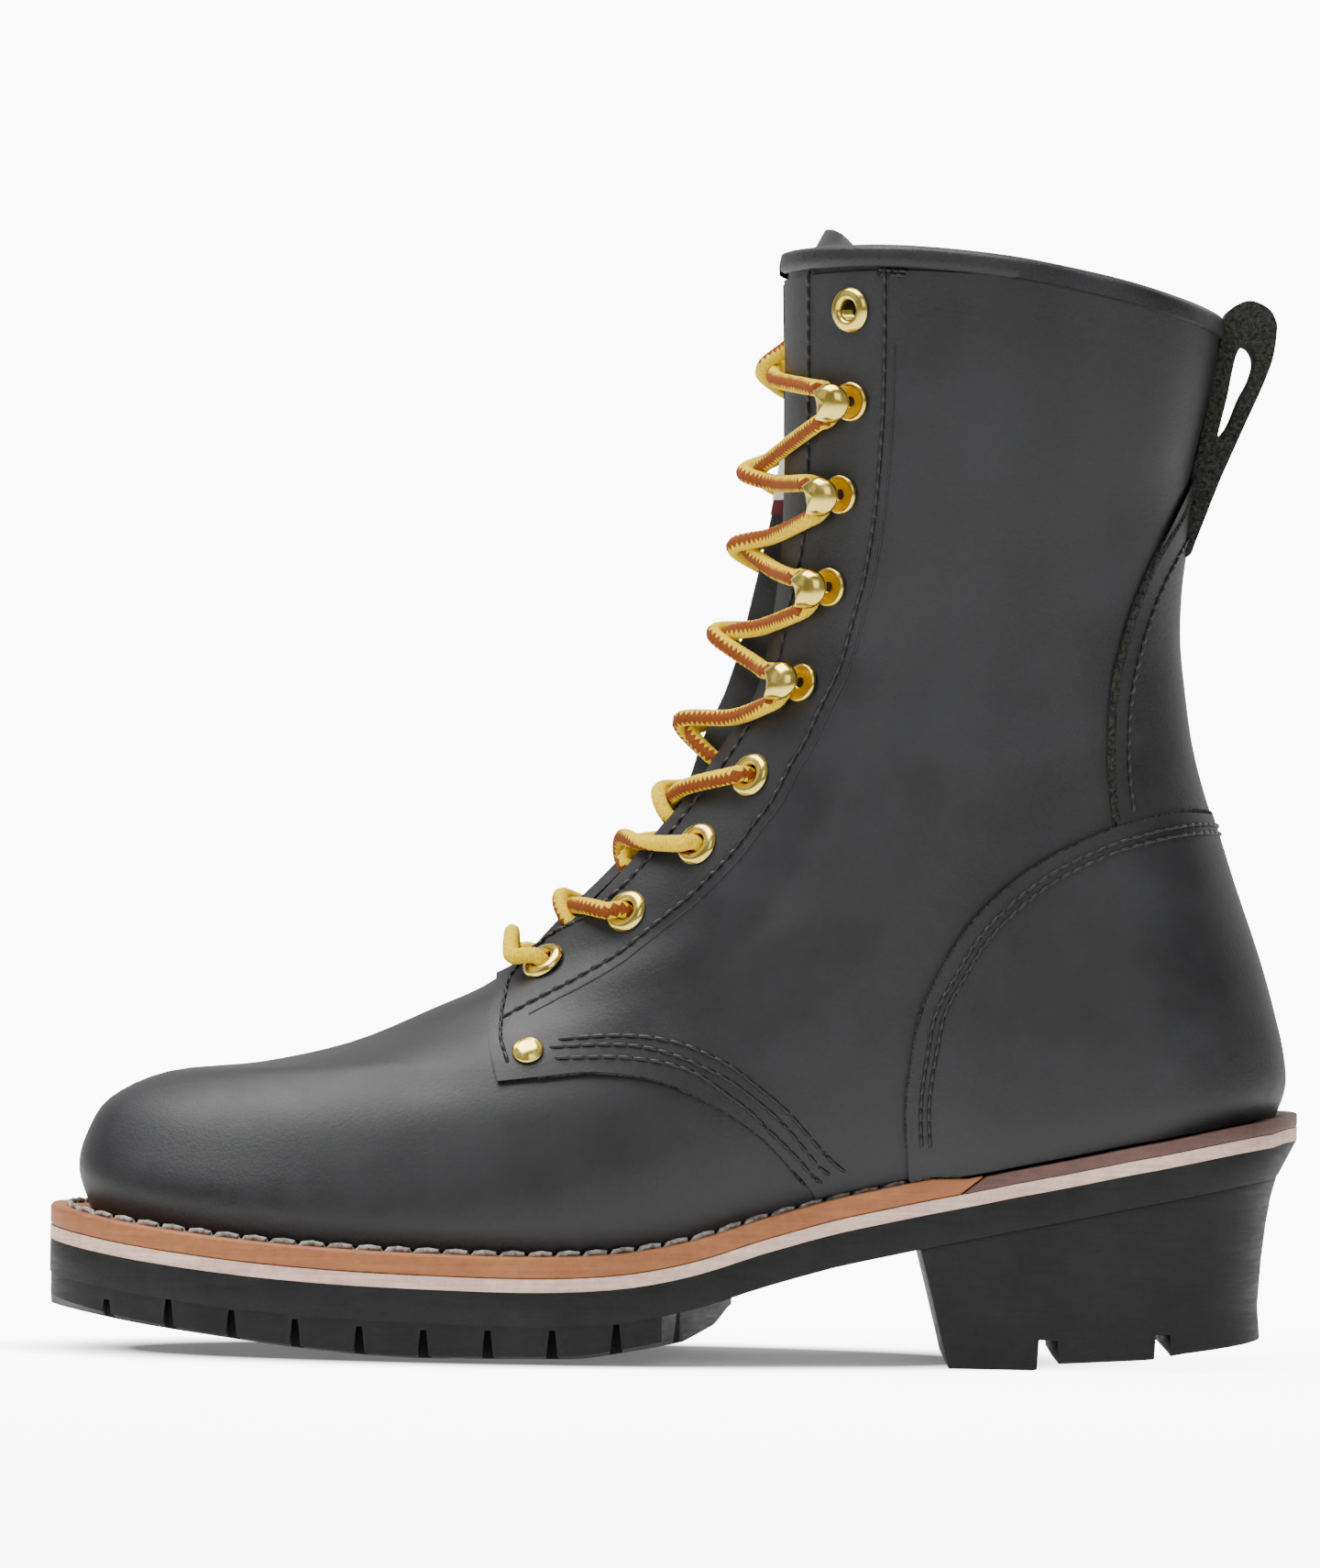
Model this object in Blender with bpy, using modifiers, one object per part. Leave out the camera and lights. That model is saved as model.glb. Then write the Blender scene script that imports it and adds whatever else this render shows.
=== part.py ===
"""Logger boot, right foot, standing on its sole.

Lengths are millimetres until a mesh is made. The toe points along -X and the inner, medial side is -Y.
The origin is on the floor below the middle of the boot's length.
"""

import math
from collections import namedtuple

import bmesh
import bpy
from mathutils import Matrix, Vector

MM = 0.001
GAP = 0.3

# Upper: wall thicknesses, overlays and the throat.
LINING_WALL = 2.2
QUARTER_RISE = 1.2
QUARTER_WALL = 2.9
CUFF_RISE = 2.1
OVERLAY_WALL = 1.7
COUNTER_LIFT = QUARTER_RISE + GAP + 0.2
THROAT_ROW = 8.0
THROAT_HALF = 9.0
LINING_BACK = 0.6
TOE_SWAY = -6.0
COLLAR_CROWN = 4.6

# Tongue.
TONGUE_WALL = 2.4
TONGUE_CLEAR = 0.7
TONGUE_HALF = 31.0
TONGUE_BULGE_HALF = 8.0
TONGUE_STEPS = 5
TONGUE_SPREAD = 1.3
TONGUE_LEAN = 0.15

# Sole layers.
WELT_THICK = 5.0
RAND_THICK = 3.3
WELT_ENDS_AT = 72.0
WELT_WIDTH = 15.0
MIDSOLE_THICK = 3.3
INSOLE_THICK = 3.4
INSOLE_CLEAR = 1.2
STRIP_GAP = 0.4
SLAB_THICK = 8.0
CROWN_RISE = 2.7
PAD_INSET = 0.3
NOTCH_DEPTH = 6.4

# Hardware.
EYELET_FLANGE = 5.6
EYELET_BARREL = 2.95
EYELET_BORE = 2.25
EYELET_PROUD = 1.0
DRILL_DEPTH = 12.0
HOOK_BASE = 4.9
HOOK_BASE_THICK = 1.1
HOOK_HOLE = 1.3
HOOK_CAP_AT, HOOK_CAP_STRETCH = 2.6, 1.3
HOOK_NECK_AT, HOOK_NECK_OFF, HOOK_NECK = 3.2, 0.1, 1.2
RIVET_HEAD = 3.9
LACE_RADIUS = 2.2

# Rows of the upper's outer skin from the feather line to the collar. Each lies on a plane from its front
# point to its back point, and `follow` says how far it dips with the seat of the sole between them.
Row = namedtuple(
    "Row",
    "front_x front_z back_x back_z follow power "
    "fore_at fore_in fore_out mid_at mid_in mid_out rear_at rear_half",
)
ROWS = [
    Row(-146.2, 36.0, 147.6, 63.2, 1.00, 2.30, -66, 47.5, 49.5, 38, 28.0, 34.5, 112, 31.5),
    Row(-149.0, 45.0, 150.0, 70.5, 1.00, 2.30, -63, 49.2, 51.5, 38, 30.5, 37.0, 113, 33.5),
    Row(-147.5, 53.6, 149.3, 78.5, 0.85, 2.20, -52, 46.8, 49.5, 40, 32.5, 38.5, 113, 34.0),
    Row(-141.6, 62.9, 147.0, 88.0, 0.65, 2.05, -42, 42.0, 45.0, 42, 33.6, 39.0, 112, 33.8),
    Row(-127.0, 69.7, 144.3, 97.5, 0.45, 1.90, -20, 35.8, 38.5, 44, 34.0, 38.2, 110, 33.0),
    Row(-105.0, 72.2, 141.0, 107.5, 0.30, 1.80, 0, 33.0, 35.8, 48, 34.2, 37.5, 108, 32.0),
    Row(-82.0, 77.5, 136.9, 119.0, 0.15, 1.55, 10, 31.6, 33.6, 52, 34.5, 37.0, 106, 31.0),
    Row(-62.0, 86.0, 132.8, 131.5, 0.05, 1.42, 18, 31.6, 33.0, 56, 34.8, 36.5, 104, 30.0),
    Row(-44.6, 94.7, 128.8, 143.5, 0.00, 1.38, 26, 32.5, 33.5, 60, 35.0, 36.3, 101, 29.5),
    Row(-28.7, 110.6, 125.8, 155.0, 0.00, 1.38, 33, 33.0, 33.8, 62, 35.2, 36.0, 98, 29.5),
    Row(-13.6, 125.9, 123.8, 168.0, 0.00, 1.42, 40, 33.5, 34.0, 66, 35.5, 36.0, 96, 30.0),
    Row(-0.5, 140.3, 122.4, 181.0, 0.00, 1.50, 45, 34.0, 34.3, 68, 36.0, 36.3, 94, 31.0),
    Row(9.0, 153.0, 122.6, 194.0, 0.00, 1.60, 49, 34.8, 35.0, 71, 36.5, 36.8, 93, 32.0),
    Row(17.5, 166.0, 124.0, 206.5, 0.00, 1.70, 53, 36.0, 36.0, 73, 37.5, 37.6, 93, 33.5),
    Row(21.9, 184.0, 125.6, 222.0, 0.00, 1.80, 55, 38.5, 38.5, 75, 39.5, 39.5, 95, 35.5),
    Row(24.4, 207.0, 128.6, 236.0, 0.00, 1.85, 57, 41.0, 41.0, 77, 42.0, 42.0, 97, 38.5),
    Row(24.8, 240.0, 131.2, 249.0, 0.00, 1.90, 57, 44.0, 44.0, 78, 45.0, 45.0, 99, 41.5),
    Row(24.0, 277.3, 132.6, 262.3, 0.00, 1.90, 57, 47.0, 47.0, 79, 48.0, 48.0, 100, 45.0),
]
LAST_ROW = len(ROWS) - 1
BACK_POWER = 2.2

# Columns of the skin, as the share of a side from the front tip (0) to the back tip (1).
FORE_END, MID_END, REAR_START = 0.40, 0.58, 0.72
FORE_STEPS, MID_STEPS, REAR_STEPS, BACK_STEPS = 6, 3, 2, 5
COUNTER_START = MID_END - 0.13

# Edge of the sole seen from above, in the same columns as a row.
SOLE = Row(-155.9, 0, 155.9, 0, 0, 2.35, -66, 55.0, 55.0, 40, 32.0, 40.0, 122, 37.0)

# Edge of the slab's underside, which is drawn in behind so that it runs on into the heel block.
SLAB_FOOT = SOLE._replace(back_x=151.4, rear_half=36.3)

# Height of the midsole's top along the boot.
Seat = namedtuple("Seat", "x z")
SEATS = [
    Seat(-156, 31.4),
    Seat(-133, 27.9),
    Seat(-108, 25.1),
    Seat(-84, 23.3),
    Seat(-60, 22.3),
    Seat(-32, 21.6),
    Seat(-12, 22.5),
    Seat(5, 25.6),
    Seat(22, 31.0),
    Seat(40, 36.2),
    Seat(61, 41.0),
    Seat(84, 46.0),
    Seat(113, 52.2),
    Seat(149, 59.0),
    Seat(156, 60.2),
]

# Lowest line of the forefoot pad, under the middle of the foot.
TREADS = [
    Seat(-156, 11.6),
    Seat(-133, 7.4),
    Seat(-108, 4.0),
    Seat(-84, 1.3),
    Seat(-62, 0.0),
    Seat(-24, 0.0),
    Seat(-10, 2.0),
    Seat(3, 4.6),
    Seat(20, 9.0),
]
PAD_ENDS_AT = 6.0
PAD_END_SPARE = 15.0
PAD_END_SKEW = 0.22
TIP_CUT = 0.15
NOTCH_FIRST, NOTCH_PITCH, NOTCH_COUNT = -139.5, 15.7, 9
NOTCH_OUTER_STEP = 2.5
NOTCH_REACH_IN, NOTCH_REACH_OUT = 19.0, 6.0
NOTCH_TOP, NOTCH_FOOT = 1.4, 4.6
BAR_COUNT, BAR_DEPTH, BAR_TOP = 4, 5.0, 3.0
BAR_LAND, BAR_FRONT = 2.0, 30.0
CUT_BELOW = 8.0
PANEL_HALF = 90.0

# Side outlines, traced as the edges of the real panels: x forward to back, z up.
QUARTER_EDGE = [
    (-45.6, 340.0),
    (-45.6, 92.0),
    (-46.9, 85.0),
    (-46.3, 78.0),
    (-44.0, 70.0),
    (-34.3, 71.0),
    (-21.5, 72.2),
    (-8.4, 71.2),
    (1.3, 68.2),
    (11.1, 63.4),
    (20.9, 56.8),
    (27.6, 50.1),
    (33.0, 44.4),
    (38.5, 36.0),
    (50.0, 10.0),
    (220.0, 10.0),
    (220.0, 340.0),
]
COUNTER_EDGE = [
    (190.0, 137.6),
    (134.0, 138.0),
    (124.5, 138.3),
    (112.8, 135.8),
    (101.4, 131.6),
    (85.6, 122.8),
    (72.2, 110.2),
    (63.3, 95.6),
    (58.8, 81.8),
    (56.8, 66.4),
    (57.2, 55.0),
    (59.0, 30.0),
    (190.0, 30.0),
]
BACKSTAY_EDGE = [
    (190.0, 138.6),
    (134.0, 139.0),
    (124.5, 139.3),
    (107.8, 136.0),
    (106.2, 153.1),
    (106.6, 166.7),
    (109.2, 180.4),
    (112.8, 191.9),
    (118.0, 203.5),
    (123.0, 213.0),
    (190.0, 218.0),
]
LOOP_OUTSIDE = [
    (126.0, 203.0),
    (126.7, 213.0),
    (127.5, 221.0),
    (129.6, 230.0),
    (132.3, 243.0),
    (133.8, 252.0),
    (135.4, 258.0),
    (135.8, 263.4),
    (137.8, 265.8),
    (141.1, 266.5),
    (145.1, 264.7),
    (146.9, 262.0),
    (147.3, 259.0),
    (146.3, 251.9),
    (143.6, 244.5),
    (140.2, 236.8),
    (136.4, 228.0),
    (133.5, 221.2),
    (130.0, 212.0),
    (127.6, 205.6),
    (126.6, 203.0),
]
LOOP_HOLE = [
    (139.0, 255.4),
    (141.0, 254.6),
    (142.1, 251.4),
    (141.0, 247.0),
    (138.7, 242.5),
    (135.8, 235.4),
    (133.0, 232.4),
    (133.6, 236.0),
    (135.0, 242.0),
    (137.0, 252.2),
]
STRAP_HALF = 9.0

# Fasteners on the inner side, from the lowest up; the outer side carries the same heights.
Fastener = namedtuple("Fastener", "x z rise")
RIVET = Fastener(-36.8, 77.0, 0.2)
EYELETS = [
    Fastener(-33.3, 98.2, 0.9),
    Fastener(-13.2, 111.6, 0),
    Fastener(4.1, 128.7, 0),
    Fastener(17.0, 146.0, 0),
    Fastener(39.7, 260.7, 0),
]
HOOKS = [
    Fastener(29.6, 168.9, 0.4),
    Fastener(36.0, 192.7, 0.2),
    Fastener(38.4, 215.6, 0.2),
    Fastener(40.5, 238.4, 0.2),
]

# Where the two strands of each lace crossing meet: row of the skin and lift off it at the middle.
Crossing = namedtuple("Crossing", "row lift")
CROSSINGS = [
    Crossing(9.10, 1.3),
    Crossing(10.10, 0.9),
    Crossing(10.88, 2.2),
    Crossing(11.99, 9.0),
    Crossing(13.75, 11.2),
    Crossing(14.83, 9.4),
    Crossing(15.48, 7.8),
    Crossing(16.23, 3.2),
]
STRAND_STEP = Vector((-0.9, 0.3, 1.1))
STRAND_IN_THROAT = 5.8
STRAND_LIFT = Vector((-1.6, 0.0, 0.8))
STRAND_ON_RIM = 10.5
STRAND_ON_BEND = 0.65
STRAND_CLEAR = 0.4
HOOK_REACH = 6.8
HOOK_SEAT = LACE_RADIUS + 2 * STRAND_CLEAR + 0.6
EYELET_SEAT = EYELET_PROUD + GAP + STRAND_CLEAR + LACE_RADIUS
LACE_BAR_TOP = Vector((-42.0, 0.0, 105.5))
LACE_BAR_BEND = Vector((-1.0, 0.0, 2.0))

# Tongue stations: row of the skin, rise beyond it, and how far its middle stands out of the throat.
Tongue = namedtuple("Tongue", "row rise bulge")
TONGUE_ROWS = [
    Tongue(6.4, 0, 0),
    Tongue(7.2, 0, 0),
    Tongue(8.0, 0, 0),
    Tongue(9.0, 0, 0.4),
    Tongue(10.0, 0, 0.6),
    Tongue(11.0, 0, 2.4),
    Tongue(12.0, 0, 7.2),
    Tongue(13.0, 0, 9.6),
    Tongue(14.0, 0, 9.0),
    Tongue(14.7, 0, 7.6),
    Tongue(15.4, 0, 4.6),
    Tongue(16.0, 0, 1.0),
    Tongue(17.0, 0, -3.6),
    Tongue(17.0, 5.4, -6.2),
]

FINISHES = {
    "leather": ((0.035, 0.035, 0.038), 0.5, 0.0),
    "tan_leather": ((0.45, 0.23, 0.11), 0.7, 0.0),
    "pale_leather": ((0.62, 0.48, 0.38), 0.85, 0.0),
    "dark_leather": ((0.12, 0.06, 0.05), 0.7, 0.0),
    "board": ((0.30, 0.22, 0.15), 0.9, 0.0),
    "rubber": ((0.02, 0.02, 0.022), 0.6, 0.0),
    "brass": ((0.83, 0.62, 0.25), 0.22, 1.0),
    "lace": ((0.62, 0.40, 0.05), 0.9, 0.0),
}


def clear_scene():
    for thing in list(bpy.data.objects):
        bpy.data.objects.remove(thing, do_unlink=True)


def new_collection(name):
    made = bpy.data.collections.new(name)
    bpy.context.scene.collection.children.link(made)
    return made


def finish(name):
    colour, roughness, metallic = FINISHES[name]
    made = bpy.data.materials.get(name) or bpy.data.materials.new(name)
    made.use_nodes = True
    shader = made.node_tree.nodes["Principled BSDF"]
    shader.inputs["Base Color"].default_value = (*colour, 1.0)
    shader.inputs["Roughness"].default_value = roughness
    shader.inputs["Metallic"].default_value = metallic
    return made


def curve_through(values, where):
    """Catmull-Rom value of a list of numbers at a fractional index."""
    last = len(values) - 1
    where = min(max(where, 0.0), float(last))
    i = min(int(where), last - 1)
    t = where - i
    p1, p2 = values[i], values[i + 1]
    p0 = values[i - 1] if i > 0 else 2 * p1 - p2
    p3 = values[i + 2] if i + 2 <= last else 2 * p2 - p1
    bend = 2 * p0 - 5 * p1 + 4 * p2 - p3
    return 0.5 * (2 * p1 + (p2 - p0) * t + bend * t**2 + (3 * p1 - p0 - 3 * p2 + p3) * t**3)


def height_along(stations, x):
    """Height at x on the smooth line through a list of stations."""
    xs = [station.x for station in stations]
    i = 0
    while i < len(xs) - 2 and x > xs[i + 1]:
        i += 1
    t = (x - xs[i]) / (xs[i + 1] - xs[i])
    return curve_through([station.z for station in stations], i + min(max(t, 0.0), 1.0))


def smooth_step(t):
    t = min(max(t, 0.0), 1.0)
    return t * t * (3 - 2 * t)


def welt_top(x):
    """Top of the welt, which thins where it runs under the heel rand."""
    thick = WELT_THICK + (RAND_THICK - WELT_THICK) * smooth_step((x - WELT_ENDS_AT + 10) / 12)
    return height_along(SEATS, x) + GAP + thick


def row_at(where):
    """The row at a fractional place between the table's rows."""
    return Row(*(curve_through(list(column), where) for column in zip(*ROWS)))


def blend(a, b, t):
    return a + (b - a) * (1 - math.cos(math.pi * t)) / 2


def plan_point(row, side, share):
    """Point (x, y) of a row seen from above, at a share of one side from its front tip to its back tip."""
    fore = row.fore_in if side < 0 else row.fore_out
    mid = row.mid_in if side < 0 else row.mid_out
    sway = TOE_SWAY * smooth_step((-45 - row.front_x) / 90)
    if share <= FORE_END:
        angle = math.pi / 2 * share / FORE_END
        reach = math.cos(angle) ** (2 / row.power)
        x = row.fore_at - (row.fore_at - row.front_x) * reach
        return x, side * fore * math.sin(angle) ** (2 / row.power) + sway * reach**2
    if share <= MID_END:
        t = (share - FORE_END) / (MID_END - FORE_END)
        return row.fore_at + (row.mid_at - row.fore_at) * t, side * blend(fore, mid, t)
    if share <= REAR_START:
        t = (share - MID_END) / (REAR_START - MID_END)
        return row.mid_at + (row.rear_at - row.mid_at) * t, side * blend(mid, row.rear_half, t)
    angle = math.pi / 2 * (1 - share) / (1 - REAR_START)
    x = row.rear_at + (row.back_x - row.rear_at) * max(math.cos(angle), 0.0) ** (2 / BACK_POWER)
    return x, side * row.rear_half * math.sin(angle) ** (2 / BACK_POWER)


def seat_dip(x):
    """How far the welt's top dips below the straight line from toe to heel."""
    first, last = ROWS[0], ROWS[-1]
    start, end = welt_top(ROWS[0].front_x), welt_top(ROWS[0].back_x)
    t = (x - first.front_x) / (first.back_x - first.front_x)
    return start + (end - start) * t - welt_top(x)


def skin_base(where, place):
    """Point of the outer skin. `place` runs from 0 at the front tip to -1 (inner side) or +1 (outer side)."""
    if abs(place) > 1:
        place -= math.copysign(2, place)
    side = -1 if place < 0 else 1
    row = row_at(where)
    x, y = plan_point(row, side, abs(place))
    t = (x - row.front_x) / (row.back_x - row.front_x)
    dip = seat_dip(x) - seat_dip(row.front_x) * (1 - t) - seat_dip(row.back_x) * t
    crown = COLLAR_CROWN * smooth_step((where - LAST_ROW + 1.5) / 1.5) * math.sin(math.pi * t)
    return Vector((x, y, row.front_z + (row.back_z - row.front_z) * t - row.follow * dip + crown))


def skin_normal(where, place):
    step, turn = 0.02, 0.004
    low, high = max(where - step, 0.0), min(where + step, float(LAST_ROW))
    up = skin_base(high, place) - skin_base(low, place)
    along = skin_base(where, place + turn) - skin_base(where, place - turn)
    return up.cross(along).normalized()


def skin(where, place, lift=0.0):
    return skin_base(where, place) + skin_normal(where, place) * lift


def throat_place(where, half):
    """Place where a row comes within `half` of the middle at the throat, 0 on a row with no throat."""
    if half <= 0 or where <= THROAT_ROW:
        return 0.0
    row = row_at(where)
    return FORE_END * math.asin((half / row.fore_in) ** (row.power / 2)) / (math.pi / 2)


def throat_half(where, back):
    """Half the width of the throat, which opens in a round-ended slot; `back` draws the edge back."""
    opened = min(max((where - THROAT_ROW) / 1.0, 0.0), 1.0)
    return max(THROAT_HALF * math.sqrt(opened) + back * opened, 0.0)


def side_shares(start):
    """Shares of one side, from `start` in the front quarter to the back tip."""
    shares = [start + (FORE_END - start) * i / FORE_STEPS for i in range(FORE_STEPS)]
    shares += [FORE_END + (MID_END - FORE_END) * i / MID_STEPS for i in range(MID_STEPS)]
    shares += [MID_END + (REAR_START - MID_END) * i / REAR_STEPS for i in range(REAR_STEPS)]
    shares += [REAR_START + (1 - REAR_START) * i / BACK_STEPS for i in range(BACK_STEPS)]
    return shares


def around(start):
    """Places right round a row, from the inner front edge by the back tip to the outer front edge."""
    shares = side_shares(start)
    return [-share for share in shares] + [1.0] + shares[::-1]


def mesh_object(name, mesh, group, paint=None):
    made = bpy.data.objects.new(name, mesh)
    group.objects.link(made)
    if paint:
        mesh.materials.append(finish(paint))
    return made


def sheet_mesh(name, rows):
    """An open surface from rows of points in millimetres, each row as long as the next."""
    bm = bmesh.new()
    grid = [[bm.verts.new(point * MM) for point in row] for row in rows]
    for low, high in zip(grid, grid[1:]):
        for i in range(len(low) - 1):
            bm.faces.new((low[i], low[i + 1], high[i + 1], high[i]))
    bmesh.ops.remove_doubles(bm, verts=bm.verts, dist=0.00001)
    mesh = bpy.data.meshes.new(name)
    bm.to_mesh(mesh)
    bm.free()
    return mesh


def loft_mesh(name, loops):
    """A closed solid through closed loops of points, with its two ends capped."""
    bm = bmesh.new()
    rings = [[bm.verts.new(Vector(point) * MM) for point in loop] for loop in loops]
    count = len(rings[0])
    for low, high in zip(rings, rings[1:]):
        for i in range(count):
            j = (i + 1) % count
            bm.faces.new((low[i], low[j], high[j], high[i]))
    bm.faces.new(rings[0][::-1])
    bm.faces.new(rings[-1])
    bmesh.ops.recalc_face_normals(bm, faces=bm.faces)
    bmesh.ops.triangulate(bm, faces=[face for face in bm.faces if len(face.verts) > 4])
    mesh = bpy.data.meshes.new(name)
    bm.to_mesh(mesh)
    bm.free()
    return mesh


def shell(made, wall):
    """Gives an open surface its wall, inwards."""
    wall_maker = made.modifiers.new("wall", "SOLIDIFY")
    wall_maker.thickness = wall * MM
    wall_maker.offset = -1.0
    return made


def cut(made, cutter, operation="DIFFERENCE"):
    step = made.modifiers.new(operation.lower() + " " + cutter.name, "BOOLEAN")
    step.operation = operation
    step.object = cutter
    return made


def as_helper(made):
    made.hide_render = True
    made.display_type = "WIRE"
    return made


def side_prism(name, outline, half_width, holes=()):
    """A flat outline seen from the side, extruded to both sides of the middle."""
    curve = bpy.data.curves.new(name, "CURVE")
    curve.dimensions = "2D"
    curve.fill_mode = "BOTH"
    curve.extrude = half_width * MM
    for points in (outline, *holes):
        spline = curve.splines.new("POLY")
        spline.points.add(len(points) - 1)
        for point, (x, z) in zip(spline.points, points):
            point.co = (x * MM, z * MM, 0.0, 1.0)
        spline.use_cyclic_u = True
    drawn = bpy.data.objects.new(name, curve)
    drawn.matrix_world = Matrix.Rotation(math.pi / 2, 4, "X")
    return meshed(drawn)


def meshed(drawn):
    """Turns a curve object into a welded mesh object outside any collection."""
    bpy.context.scene.collection.objects.link(drawn)
    bpy.context.view_layer.update()
    evaluated = drawn.evaluated_get(bpy.context.evaluated_depsgraph_get())
    mesh = bpy.data.meshes.new_from_object(evaluated)
    mesh.transform(drawn.matrix_world)
    name = drawn.name
    bpy.data.objects.remove(drawn, do_unlink=True)
    bm = bmesh.new()
    bm.from_mesh(mesh)
    bmesh.ops.remove_doubles(bm, verts=bm.verts, dist=0.00001)
    bmesh.ops.recalc_face_normals(bm, faces=bm.faces)
    bmesh.ops.triangulate(bm, faces=bm.faces)
    bm.to_mesh(mesh)
    bm.free()
    mesh.materials.clear()
    return bpy.data.objects.new(name, mesh)


def placed(made, group, paint=None):
    group.objects.link(made)
    if paint:
        made.data.materials.append(finish(paint))
    return made


def find_on_skin(x, z, side):
    """Row and place of the skin point that is seen at (x, z) from one side."""
    best, where, place, span = None, 8.0, 0.3, (8.0, 0.3)
    for _ in range(9):
        centre = (where, place)
        for i in range(-4, 5):
            for j in range(-4, 5):
                try_row = min(max(centre[0] + span[0] * i / 4, 0.0), float(LAST_ROW))
                try_place = min(max(centre[1] + span[1] * j / 4, 0.01), 0.7)
                point = skin(try_row, side * try_place, QUARTER_RISE)
                miss = (point.x - x) ** 2 + (point.z - z) ** 2
                if best is None or miss < best:
                    best, where, place = miss, try_row, try_place
        span = (span[0] * 0.45, span[1] * 0.45)
    return where, side * place


def seat_frame(fastener, side):
    """Matrix of a fastener: its origin on the quarter's surface and its Z axis out of it, X axis to the throat."""
    where, place = find_on_skin(fastener.x, fastener.z, side)
    out = skin_normal(where, place)
    origin = skin(where, place, QUARTER_RISE + fastener.rise)
    ahead = (skin(where, place * 0.9, QUARTER_RISE + fastener.rise) - origin).normalized()
    ahead = (ahead - out * ahead.dot(out)).normalized()
    across = out.cross(ahead)
    turn = Matrix((ahead, across, out)).transposed().to_4x4()
    return Matrix.Translation(origin * MM) @ turn


def upper_rows(start, top, back, lift):
    """Rows of points of a wall of the upper between two rows of the table."""
    marks = [start, 0.5, 1, 2, 3, 4, 5, 6, 7, 8, 8.12, 8.4, 9, 10, 11, 12, 13, 14, 15, 16]
    marks += [mark for mark in (LAST_ROW - 0.16, LAST_ROW - 0.14) if lift]
    marks.append(top)
    rows = []
    for mark in marks:
        rise = lift if mark < LAST_ROW - 0.15 else CUFF_RISE
        edge = throat_place(mark, throat_half(mark, back))
        rows.append([skin(mark, place, rise if lift else 0.0) for place in around(edge)])
    return rows


def build_upper(group, helpers):
    quarter_rows = upper_rows(0.2, LAST_ROW, 0, QUARTER_RISE)
    quarter = mesh_object("quarter_form", sheet_mesh("quarter_form", quarter_rows), helpers)
    shell(quarter, QUARTER_WALL)
    panel = placed(side_prism("quarter_panel", QUARTER_EDGE, PANEL_HALF), helpers)
    cut(as_helper(quarter), as_helper(panel), "INTERSECT")
    rows = upper_rows(0.15, LAST_ROW - 0.02, LINING_BACK, 0.0)
    upper = mesh_object("upper", sheet_mesh("upper", rows), group, "leather")
    shell(upper, LINING_WALL)
    cut(upper, quarter, "UNION")
    for side in (-1, 1):
        for number, eyelet in enumerate(EYELETS, 1):
            hole = drill(side_name("hole", side, number), seat_frame(eyelet, side), helpers)
            cut(upper, hole)


def drill(name, frame, helpers):
    """A round cutter through both walls for the barrel of an eyelet."""
    bm = bmesh.new()
    bmesh.ops.create_cone(
        bm,
        cap_ends=True,
        segments=10,
        radius1=(EYELET_BARREL + GAP) * MM,
        radius2=(EYELET_BARREL + GAP) * MM,
        depth=DRILL_DEPTH * MM,
        matrix=frame,
    )
    mesh = bpy.data.meshes.new(name)
    bm.to_mesh(mesh)
    bm.free()
    return as_helper(mesh_object(name, mesh, helpers))


def side_name(stem, side, number=None):
    name = stem + ("_in" if side < 0 else "_out")
    return name if number is None else f"{name}_{number}"


def overlay_sheet(name, marks, first_share, helpers, group, paint, edge):
    """A panel over the quarter: its own shell on the upper's function, kept inside a side outline."""
    shares = [share for share in side_shares(0.0) if share >= first_share]
    places = [-share for share in shares] + [1.0] + shares[::-1]
    lift = COUNTER_LIFT + OVERLAY_WALL
    rows = [[skin(mark, place, lift) for place in places] for mark in marks]
    made = mesh_object(name, sheet_mesh(name, rows), group, paint)
    shell(made, OVERLAY_WALL)
    panel = placed(side_prism(name + "_panel", edge, PANEL_HALF), helpers)
    return cut(made, as_helper(panel), "INTERSECT")


def build_counter(group, helpers):
    marks = [0.35, 1, 2, 3, 4, 5, 6, 7, 8, 9]
    overlay_sheet("counter", marks, COUNTER_START, helpers, group, "leather", COUNTER_EDGE)


def build_backstay(group, helpers):
    marks = [6, 7, 8, 9, 10, 11, 12, 13, 14, 14.6]
    stay = overlay_sheet("backstay", marks, REAR_START, helpers, group, "leather", BACKSTAY_EDGE)
    loop = placed(side_prism("pull_loop", LOOP_OUTSIDE, STRAP_HALF, [LOOP_HOLE]), helpers)
    cut(stay, as_helper(loop), "UNION")


def tongue_bulge(row, y):
    """How far the tongue stands out of its plain place behind the lining."""
    rows = [station.row for station in TONGUE_ROWS]
    i = 0
    while i < len(rows) - 3 and row > rows[i + 1]:
        i += 1
    t = min(max((row - rows[i]) / (rows[i + 1] - rows[i]), 0.0), 1.0)
    bulge = TONGUE_ROWS[i].bulge * (1 - t) + TONGUE_ROWS[i + 1].bulge * t
    if bulge < 0:
        return bulge
    return bulge * math.cos(math.pi / 2 * min(abs(y) / TONGUE_BULGE_HALF, 1.0)) ** 2


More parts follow.
